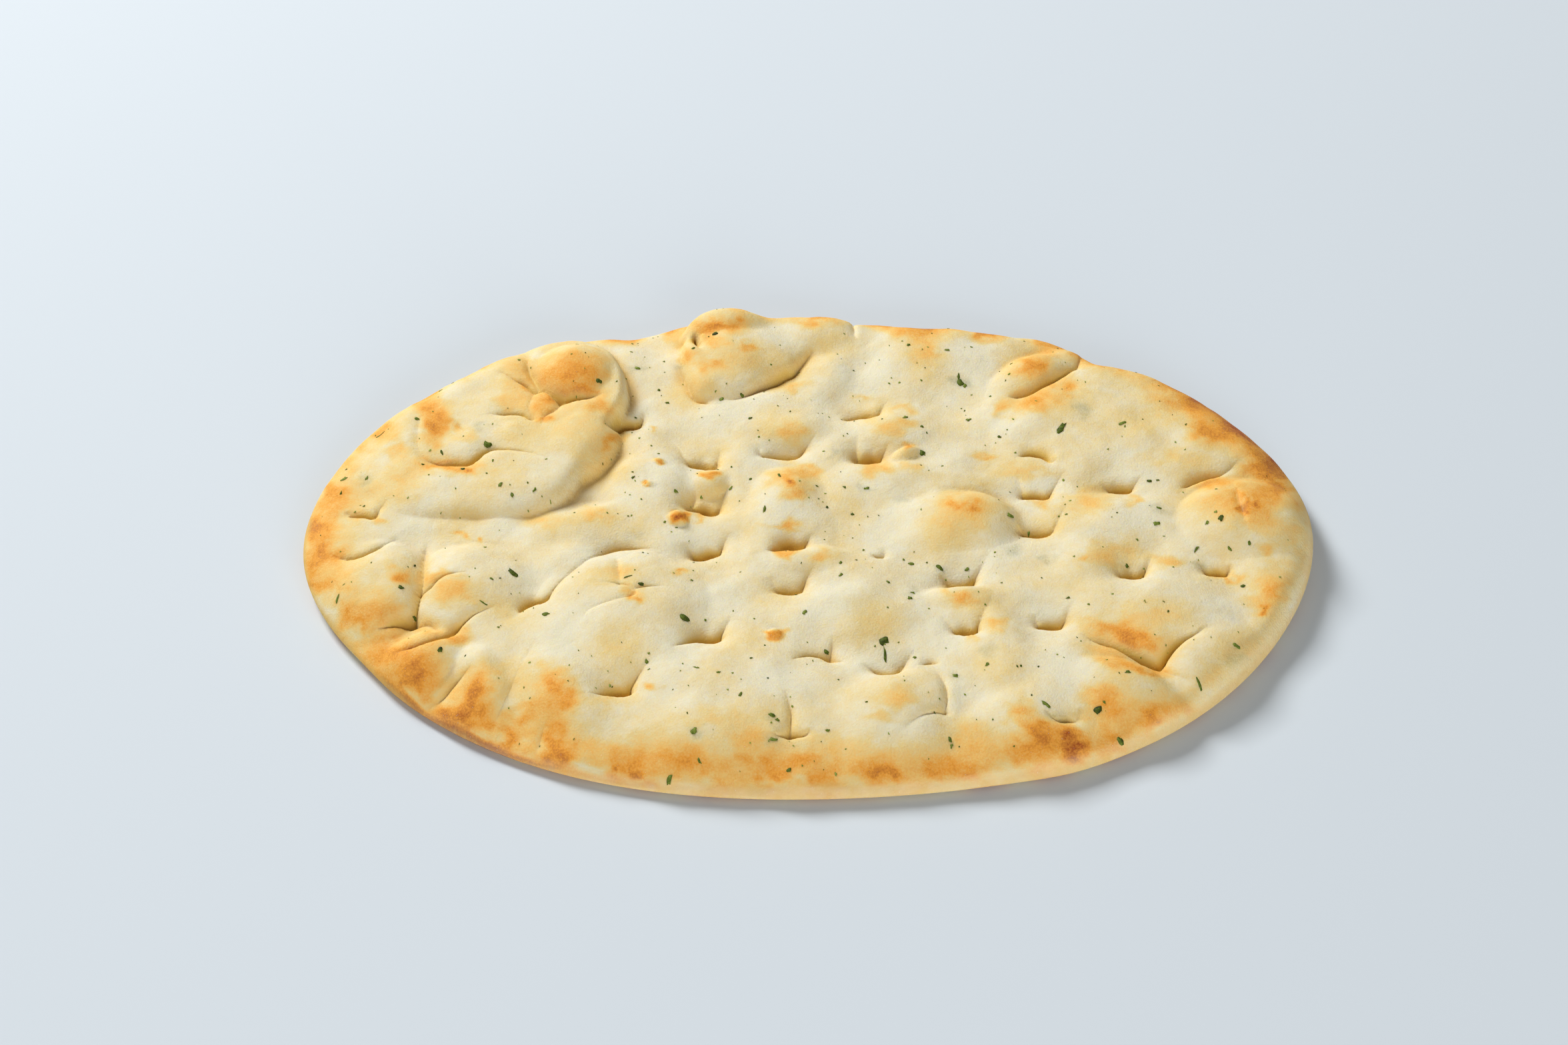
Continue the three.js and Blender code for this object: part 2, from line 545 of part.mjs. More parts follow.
// Smaller flakes spread evenly over the crust, clear of each other and of the large ones
function scatteredFlakes() {
  const draw = seededDraw(FLAKE_SEED);
  const flakes = [];
  while (flakes.length < SCATTERED_FLAKES) {
    const t = 2 * Math.PI * draw();
    const s = 0.88 * Math.sqrt(draw());
    const [rimX, rimY] = rimPoint(t);
    const flake = {
      at: [rimX * s, rimY * s],
      half: [1.1 + 0.6 * draw(), 0.8 + 0.3 * draw()],
      turn: 360 * draw(),
    };
    const clear = [...PLACED_FLAKES, ...flakes].every(
      (other) => Math.hypot(other.at[0] - flake.at[0], other.at[1] - flake.at[1]) > FLAKE_SPACING,
    );
    if (clear) {
      flakes.push(flake);
    }
  }
  return flakes;
}

const wasm = await Module();
wasm.setup();

// Closed geometry as a solid that can be joined
function solidOf(geometry) {
  return new wasm.Manifold(new wasm.Mesh({
    numProp: 3,
    vertProperties: new Float32Array(geometry.attributes.position.array),
    triVerts: new Uint32Array(geometry.index.array),
  }));
}

// Joined solid as geometry again
function geometryFrom(solid) {
  const mesh = solid.getMesh();
  const geometry = new THREE.BufferGeometry();
  geometry.setAttribute('position', new THREE.BufferAttribute(mesh.vertProperties, 3));
  geometry.setIndex(new THREE.BufferAttribute(mesh.triVerts, 1));
  geometry.computeVertexNormals();
  return geometry;
}

// The naan: the bread with its flakes fused to the crust
function naanMesh() {
  const flakes = [...PLACED_FLAKES, ...scatteredFlakes()];
  const solid = flakes.reduce(
    (joined, flake) => joined.add(solidOf(flakeGeometry(flake))),
    solidOf(breadGeometry()),
  );
  const crust = new THREE.MeshStandardMaterial({ color: CRUST_COLOUR, roughness: 0.85, metalness: 0 });
  const mesh = new THREE.Mesh(geometryFrom(solid), crust);
  mesh.name = 'naan';
  return mesh;
}

const naan = new THREE.Group();
naan.add(naanMesh());

export default naan;
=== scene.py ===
"""A garlic naan on a pale floor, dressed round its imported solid.

Shapes are worked out in millimetres on a survey of the bread, with +Z up and the table at zero. A
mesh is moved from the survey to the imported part's frame when it is made. What shows as a mark or
a line on the crust is placed where the camera sees it on a level just above the plain crust, which
is called the sight level here.
"""

import logging
import math
from dataclasses import dataclass, field, replace
from enum import Enum
from typing import Self

import bpy
import numpy as np
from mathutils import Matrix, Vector


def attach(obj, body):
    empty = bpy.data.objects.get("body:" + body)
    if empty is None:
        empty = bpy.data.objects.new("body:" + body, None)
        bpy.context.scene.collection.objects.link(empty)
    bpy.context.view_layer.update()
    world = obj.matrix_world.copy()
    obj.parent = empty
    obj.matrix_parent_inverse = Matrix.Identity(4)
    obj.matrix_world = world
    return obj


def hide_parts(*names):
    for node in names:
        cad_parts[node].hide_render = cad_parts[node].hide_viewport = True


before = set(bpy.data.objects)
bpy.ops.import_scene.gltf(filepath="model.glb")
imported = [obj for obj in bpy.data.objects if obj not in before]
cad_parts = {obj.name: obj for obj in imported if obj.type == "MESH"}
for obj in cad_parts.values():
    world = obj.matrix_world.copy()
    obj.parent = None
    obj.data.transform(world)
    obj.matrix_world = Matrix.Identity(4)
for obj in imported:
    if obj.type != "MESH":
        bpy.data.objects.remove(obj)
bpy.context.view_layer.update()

Array = np.ndarray
Pair = tuple[float, float]
Triple = tuple[float, float, float]
Colour = tuple[float, float, float]
Ring = tuple[int, int, float]

LOG = logging.getLogger("naan")
MILLIMETRE = 0.001
NODE = "naan"
BODY = "root"

# Where the middle of the bread lies on the survey
SURVEY_MIDDLE: Pair = (0.2, 3.7)

# The painted shade along the bottom of a crease: how far it reaches into the hollow and over the lip,
# the depth that gives it in full, and how fast it fades with less
CREASE_SHADE_REACH: Pair = (1.8, 0.3)
CREASE_SHADE_DEPTH = 4.6
CREASE_SHADE_FADE = 1.5

# How widely the steps of a run share in the distance from it: by that distance, and at the least
STEP_BLEND: Pair = (0.25, 0.05)

# Heights between which lines of sight are followed down to the crust
SIGHT_SPAN: Pair = (22.0, 2.0)

# A Mix node's sockets for its two colours, and its colour output
MIX_FIRST = 6
MIX_SECOND = 7
MIX_RESULT = 2

# The middle value of noise, and the detail of noise that is finer than usual
NOISE_MIDDLE = 0.5
FINE_DETAIL = 3.0

# Degrees of a full turn
FULL_TURN = 360.0


def linear(red: int, green: int, blue: int) -> Colour:
    """Turn a display colour of 0 to 255 into scene light.

    Args:
        red: Red as shown on a display.
        green: Green as shown on a display.
        blue: Blue as shown on a display.

    Returns:
        The colour as three linear values of 0 to 1.
    """
    def one(value: int) -> float:
        """Turn one display value into a linear one."""
        share = value / 255
        return share / 12.92 if share <= 0.04045 else ((share + 0.055) / 1.055) ** 2.4

    return one(red), one(green), one(blue)


def rounded_max(a: Array, b: Array, blend: float) -> Array:
    """Take the larger height, with the corner between the two rounded.

    Args:
        a: First heights.
        b: Second heights.
        blend: Height difference within which they merge.

    Returns:
        The merged heights.
    """
    near = np.clip(1 - np.abs(a - b) / blend, 0, None)
    return np.maximum(a, b) + near * near * blend / 4


def ramp(value: Array, start: float, end: float) -> Array:
    """Rise smoothly from 0 at start to 1 at end."""
    share = np.clip((value - start) / (end - start), 0, 1)
    return share * share * (3 - 2 * share)


@dataclass(frozen=True)
class Lumps:
    """Even lumps of one size, from ripples that run in evenly turned directions.

    The bearing of the first ripple also shifts the pattern.
    """

    height: float
    size: float
    first: float
    ripples: int = 7
    turn: float = 2.4
    rates: Pair = (0.8, 0.5)
    rate_step: float = 0.618
    shifts: Pair = (3.0, 1.7)

    def at(self, x: Array, y: Array) -> Array:
        """Give the lumps at places.

        Args:
            x: Places along the bread.
            y: Places across the bread.

        Returns:
            Values up to about the height, above and below zero.
        """
        total = np.zeros_like(x)
        for i in range(self.ripples):
            bearing = self.first + self.turn * i
            rate = math.tau / self.size * (self.rates[0] + self.rates[1] * ((self.rate_step * i) % 1))
            shift = self.first * self.shifts[0] + self.shifts[1] * i * i
            total += np.sin(rate * (math.cos(bearing) * x + math.sin(bearing) * y) + shift)
        return self.height * total * math.sqrt(2 / self.ripples)


def lumpy(layers: tuple[Lumps, ...], x: Array, y: Array) -> Array:
    """Add up layers of lumps at places."""
    return sum(layer.at(x, y) for layer in layers)


def smooth_run(points: Array, steps: int, closed: bool = False) -> Array:
    """Run a smooth curve through points.

    Args:
        points: The points, one row each, of any width.
        steps: Number of straight steps from each point to the next.
        closed: Whether the last point joins the first.

    Returns:
        The ends of the steps, one row each. A closed run ends where it starts.
    """
    if closed:
        ends = np.vstack([points[-1:], points, points[:2]])
    else:
        ends = np.vstack([2 * points[:1] - points[1:2], points, 2 * points[-1:] - points[-2:-1]])
    along = np.arange(steps)[:, None] / steps
    pieces = []
    for a, b, c, d in zip(ends, ends[1:], ends[2:], ends[3:]):
        bend = (2 * a - 5 * b + 4 * c - d) * along ** 2 + (3 * b - a - 3 * c + d) * along ** 3
        pieces.append(b + 0.5 * ((c - a) * along + bend))
    return np.vstack([*pieces, ends[-2:-1]])


@dataclass(frozen=True)
class Nearest:
    """How places lie against a run of straight steps."""

    distance: Array
    side: Array
    value: Array
    off: Array

    @classmethod
    def to_run(cls, run: Array, x: Array, y: Array) -> "Nearest":
        """Find the nearest point of a run for each place.

        Args:
            run: Ends of the run's steps, with a value to carry in the third column.
            x: Places along the bread.
            y: Places across the bread.

        Returns:
            The distances, the side of the run (1 on its left), the carried values and the way from the run.
        """
        start, step = run[:-1, :, None], np.diff(run, axis=0)[:, :, None]
        off_x, off_y = x - start[:, 0], y - start[:, 1]
        length_squared = step[:, 0] ** 2 + step[:, 1] ** 2
        along = np.clip((off_x * step[:, 0] + off_y * step[:, 1]) / length_squared, 0, 1)
        off_x, off_y = off_x - along * step[:, 0], off_y - along * step[:, 1]
        gap = np.hypot(off_x, off_y)
        least = gap.min(0)
        closest = gap.argmin(0)[None]
        off = np.vstack([np.take_along_axis(part, closest, 0) for part in (off_x, off_y)])
        turn = np.take_along_axis(step[:, 0] * off_y - step[:, 1] * off_x, closest, 0)[0]
        weight = np.exp((least - gap) / (STEP_BLEND[0] * least + STEP_BLEND[1]))
        total = weight.sum(0)
        value = (weight * (start[:, 2] + step[:, 2] * along)).sum(0) / total
        return cls((weight * gap).sum(0) / total, np.sign(turn), value, off)


def close_to(run: Array, reach: float, x: Array, y: Array) -> Array:
    """Give the indices of places that may lie within reach of a run."""
    (low_x, low_y), (high_x, high_y) = run[:, :2].min(0) - reach, run[:, :2].max(0) + reach
    return np.flatnonzero((x > low_x) & (x < high_x) & (y > low_y) & (y < high_y))


@dataclass(frozen=True)
class Oval:
    """A turned oval on the plan."""

    at: Pair
    size: Pair
    turn: float = 0.0

    @classmethod
    def each(cls, *rows: tuple[float, ...]) -> tuple[Self, ...]:
        """Make one of each row, which holds the place, the half sizes, the turn and the rest in order."""
        return tuple(cls((x, y), (along, across), *rest) for x, y, along, across, *rest in rows)

    def reach(self, x: Array, y: Array) -> Array:
        """Measure how far places lie from the middle.

        Args:
            x: Places along the bread.
            y: Places across the bread.

        Returns:
            The distances, with 1 on the oval's edge.
        """
        c, s = math.cos(math.radians(self.turn)), math.sin(math.radians(self.turn))
        dx, dy = x - self.at[0], y - self.at[1]
        return np.hypot((c * dx + s * dy) / self.size[0], (c * dy - s * dx) / self.size[1])


@dataclass(frozen=True)
class Blister(Oval):
    """A dome that the oven raised, steep at the foot where its fullness is low."""

    top: float = 13.0
    fullness: float = 0.8
    blend: float = 1.5
    soft_side: float = 0.0
    softness: float = 0.0

    def raised(self, height: Array, x: Array, y: Array, foot: float) -> Array:
        """Lift the crust over this blister.

        Args:
            height: Crust heights so far.
            x: Places along the bread.
            y: Places across the bread.
            foot: Height of every blister's foot.

        Returns:
            The crust heights with the blister on them.
        """
        bearing = np.arctan2(y - self.at[1], x - self.at[0]) - math.radians(self.soft_side)
        lean = self.softness * np.clip(np.cos(bearing), 0, 1) ** 2
        fall = 1 - (self.reach(x, y) / (1 + lean)) ** 2
        dome = foot + (self.top - foot) * np.sign(fall) * np.abs(fall) ** (self.fullness + lean)
        return rounded_max(height, dome, self.blend)


@dataclass(frozen=True)
class Swelling:
    """A raised part of any outline, given by points with the flank's width and the shoulder's height."""

    outline: tuple[tuple[float, float, float, float], ...]
    blend: float = 1.0
    steps: int = 5
    softening: float = 9.0
    outer_fall: float = 2.0

    def raised(self, height: Array, x: Array, y: Array, foot: float) -> Array:
        """Lift the crust inside the outline.

        Args:
            height: Crust heights so far.
            x: Places along the bread.
            y: Places across the bread.
            foot: Height of the swelling's foot.

        Returns:
            The crust heights with the swelling on them.
        """
        ring = smooth_run(np.array(self.outline), self.steps, closed=True)
        near = Nearest.to_run(ring[:, :3], x, y)
        weight, flank, top = np.zeros_like(x), np.zeros_like(x), np.zeros_like(x)
        for at_x, at_y, width, shoulder in ring:
            pull = ((x - at_x) ** 2 + (y - at_y) ** 2 + self.softening) ** -2
            weight += pull
            flank += pull * width
            top += pull * shoulder
        rise = np.clip(near.distance * weight / flank, 0, 1)
        dome = foot + (top / weight - foot) * np.sqrt(1 - (1 - rise) ** 2)
        inside = near.side * self._winding() > 0
        outside = foot - self.outer_fall * near.distance
        return rounded_max(height, np.where(inside, dome, outside), self.blend)

    def _winding(self) -> float:
        """Give 1 where the outline's points run anticlockwise, or else -1."""
        x, y = np.array(self.outline)[:, :2].T
        return float(np.sign(np.sum(x * np.roll(y, -1) - y * np.roll(x, -1))))


@dataclass(frozen=True)
class Fold:
    """A crease seen as a crisp lip, with the crust sunk on the left of its run.

    Each point of the run holds its place on the sight level and the depth of the crease there. Lean
    widens the lip where it faces the right end, and fading widens it where the crease runs out. The
    bowl and the apron round it are as wide as the hollow times their widths.
    """

    run: tuple[Triple, ...]
    hollow: float = 2.6
    lip: float = 0.45
    shoulder: float = 0.2
    lean: float = 0.0
    fading: float = 3.0
    bowl_width: float = 1.5
    bowl_share: float = 0.85
    apron_width: float = 2.2
    shoulder_width: float = 4.0
    felt_widths: float = 6.0
    least_width: float = 3.0
    least_distance: float = 0.01

    def sink(self) -> Array:
        """Give how far the lip itself lies below the crust at each point of the run."""
        return self.shoulder * np.array(self.run)[:, 2]

    def pressed(self, height: Array, x: Array, y: Array, run: Array) -> tuple[Array, Array]:
        """Press this crease into the crust.

        Args:
            height: Crust heights so far.
            x: Places along the bread.
            y: Places across the bread.
            run: The curve on the plan, with its depth in the third column.

        Returns:
            The crust heights with the crease in them, and its painted shade, from 0 to 1, strongest at its
            bottom.
        """
        close = close_to(run, self.felt_widths * max(self.hollow, self.lip, self.least_width), x, y)
        line = np.zeros_like(height)
        if not close.size:
            return height, line
        near = Nearest.to_run(run, x[close], y[close])
        d = near.distance
        level = np.clip(1 - d / (self.bowl_width * self.hollow), 0, 1)
        apron = np.exp(-(d / (self.apron_width * self.hollow)) ** 2)
        sunk = self.bowl_share * (1 - np.sqrt(1 - level ** 2)) + (1 - self.bowl_share) * apron
        faded = self.fading * (1 - near.value / run[:, 2].max()) ** 2
        leaned = self.lean * np.clip(-near.off[0] / (d + self.least_distance), 0, 1) ** 2
        edge = np.exp(-d / (self.lip * (1 + faded + leaned)))
        fallen = (1 - self.shoulder) * edge + self.shoulder * np.exp(-(d / self.shoulder_width) ** 2)
        height = height.copy()
        height[close] -= near.value * np.where(near.side > 0, sunk, fallen)
        # Painted shade that darkens the crease towards its bottom
        reach = np.where(near.side > 0, *CREASE_SHADE_REACH)
        line[close] = np.clip(near.value / CREASE_SHADE_DEPTH, 0, 1) ** CREASE_SHADE_FADE * np.exp(-d / reach)
        return height, line


@dataclass(frozen=True)
class Hole(Fold):
    """A docking hole: a crease in a wide soft funnel, whose middle lies a little behind the crease."""

    hollow: float = 3.5
    lean: float = 5.0
    funnel: float = 0.28
    funnel_at_lip: float = 0.9
    behind: float = 1.5
    reach: float = 7.0

    def sink(self) -> Array:
        """Give how far the lip itself lies below the crust at each point of the run."""
        depth = np.array(self.run)[:, 2]
        return self.shoulder * depth + self.funnel_at_lip * self.funnel * depth.max()

    def pressed(self, height: Array, x: Array, y: Array, run: Array) -> tuple[Array, Array]:
        """Press this hole into the crust, as a fold is pressed.

        Args:
            height: Crust heights so far.
            x: Places along the bread.
            y: Places across the bread.
            run: The curve on the plan, with its depth in the third column.

        Returns:
            What a fold gives.
        """
        pull = run[:, 2] ** 2
        mid_x, mid_y = (run[:, :2] * pull[:, None]).sum(0) / pull.sum()
        away = np.hypot(x - mid_x, y - mid_y - self.behind) / self.reach
        return super().pressed(height - self.funnel * run[:, 2].max() * np.exp(-away ** 2), x, y, run)


@dataclass(frozen=True)
class Scorch(Oval):
    """A patch that the oven browned, placed on the sight level."""

    depth: float = 0.5
    edge: float = 2.4
    core: float = 0.9

    def browning(self, x: Array, y: Array) -> Array:
        """Give how far each place is browned by this patch."""
        return self.depth * np.exp(-(self.reach(x, y) / self.core) ** self.edge)


@dataclass(frozen=True)
class Flake(Oval):
    """A flake of coriander, with its tone from dark to fresh."""

    tone: float = 0.3


# Swellings: place, width of the flank and height of the shoulder, round their outlines
SWELLINGS = (
    # upper left, steep on its right side and gentle towards the left rim
    Swelling((
        (-50, 68, 6, 15.5), (-46.5, 61, 4, 16.5), (-44.5, 54, 3, 17), (-44, 47, 3, 17),
        (-45, 42, 3, 16.6), (-47, 37, 3, 16.4), (-49, 31, 3, 16.4), (-51.5, 24, 3.6, 16.2),
        (-55, 16, 5.5, 16), (-59, 9, 9, 15.8), (-66, 5, 11, 15.6), (-76, 4.5, 12, 15.4),
        (-88, 5, 12, 14.6), (-99, 7, 12, 13.6), (-106, 16, 12, 13), (-108, 27, 12, 12.8),
        (-102, 42, 12, 13.4), (-92, 55, 10, 13.8), (-78, 68, 10, 14.4), (-62, 74, 10, 15),
    )),
    # blister on the back edge, with a steep front foot
    Swelling((
        (-31.4, 70, 5, 15.4), (-31.6, 63, 4.5, 15.2), (-30.8, 58, 5, 15), (-29.3, 53.5, 6, 14.8),
        (-27, 50, 8, 14.8), (-22, 49.3, 10, 15), (-17.5, 50, 10, 15.2), (-13.5, 52, 9, 15),
        (-8.5, 56, 7, 14.6), (-4, 59, 6, 14.2), (-1.2, 63, 7, 13.8), (3, 68, 9, 13.8), (7, 75, 9, 14),
        (-2, 83, 7, 14.6), (-18, 85, 7, 16), (-28, 79, 6, 16),
    )),
)

# Blisters: place, half sizes, turn, top, fullness, blend, and the side that is softer with how much
BLISTERS = Blister.each(
    # upper left: cap, right lobe, mound and ridges
    (-56.5, 54.5, 11.5, 12.5, 0, 20.6, 0.55, 0.8, 130, 0.4),
    (-55.5, 31, 10, 14, -18, 17.6, 0.6, 0.8, 200, 0.5), (-71.5, 32, 8.5, 7.5, 0, 16.4, 0.7, 1),
    (-73, 55, 9, 11, 0, 15.8, 0.9, 1.5, 180, 0.5), (-96, 36, 8, 18, 14, 14.4, 1, 2.5),
    # blister on the back edge
    (-18, 66, 14, 12, 10, 17.2, 0.9, 3, 30, 0.3), (-20, 76, 12, 8, 15, 19, 0.7, 1.5, 30, 0.5),
    (-26, 69.4, 1.1, 3.2, 12, 17.2, 0.7, 0.5), (3, 75, 14, 9, 0, 15.4, 0.8, 2),
    (6, 61, 6, 10, -30, 12.6, 1, 3), (30, 69, 20, 14, -10, 14, 1, 4),
    # upper right swelling with a crease across it
    (72, 46, 30, 27, 30, 14.4, 0.6, 1.5, -20, 0.8), (57, 58.5, 14, 8.5, 36, 15.4, 0.9, 1.6),
    (60, 43, 17, 10, 36, 15.2, 0.8, 1.5, -20, 0.6),
    # right end
    (103, 5, 16, 14, 20, 16.2, 0.7, 1.8, 0, 0.2), (98, 32, 16, 12, -45, 13.8, 1, 4),
    # lower right, either side of the V fold
    (73, -52, 15, 8, -22, 14.2, 0.8, 2, -90, 0.5), (92, -41, 11, 14, -35, 14, 0.8, 2, -30, 0.5),
    (80, -25, 18, 10, 0, 12.8, 0.9, 2.5, 90, 0.5), (52, -64, 13, 11, -10, 13.2, 0.9, 3),
    # left end, split by creases
    (-80, -19, 13.5, 15, -12, 15, 0.75, 1.6, 0, 0.3), (-99, -18, 10, 16, 5, 15, 0.8, 1, 180, 0.8),
    (-90, -41, 13, 8, 28, 14.2, 0.8, 1.2, -120, 0.6),
    # left of the middle, and the ribs of the front left rim
    (-43, -26, 20, 20, 30, 15, 0.7, 2.2, -110, 0.8), (-74, -49, 5.5, 12, 22, 13.6, 0.9, 2),
    (-57, -52, 9, 14, 15, 13.8, 0.9, 3, 0, 0.6),
    # middle and front
    (-5, 12, 9, 12, 0, 14.6, 0.8, 2.5, -90, 0.8), (38, 4, 13, 11, 0, 15.6, 0.8, 1.8, 180, 0.4),
    (20, -57, 12.5, 10.5, 10, 13.9, 0.9, 2.6, -90, 0.5), (-22, -68, 14, 9, 0, 12.8, 1, 4),
    (21, 38, 10, 7, 0, 13.4, 0.9, 2.5, 90, 0.5), (-4, 39, 9, 6.5, 0, 13.2, 0.9, 2.5, 90, 0.5),
    (-24, 18.5, 5, 5, 0, 13.8, 0.8, 2, 90, 0.5), (-36, 18, 10, 14, 0, 13.2, 1, 4),
    (18, 19, 13, 8, 0, 13.2, 1, 3), (74, 5, 15, 9, 0, 13.2, 1, 3), (66, -9, 8, 9, 0, 12.9, 1, 3),
    (36, -22, 9, 5, 0, 13.2, 0.9, 2), (0, -9, 11, 5, 0, 13.2, 0.9, 2), (8, -27, 16, 8, 0, 12.8, 1, 4),
    (-20, -50, 18, 13, -15, 13, 1, 4), (43, -38, 7, 12, 10, 12.8, 1, 3), (-52, 3, 14, 7, 5, 12.8, 1, 3),
    # pimples
    (-31, 4.4, 3, 3, 0, 14, 0.8, 0.8), (-36, 23.5, 2.8, 2, 0, 14.4, 0.8, 0.8),
    (-38, 15, 2.2, 1.8, 0, 14.4, 0.8, 0.8), (24, 29, 4.5, 2.6, 20, 13, 0.9, 1.2),
    (-8, -36, 2.6, 2.2, 0, 13, 0.9, 1),
)

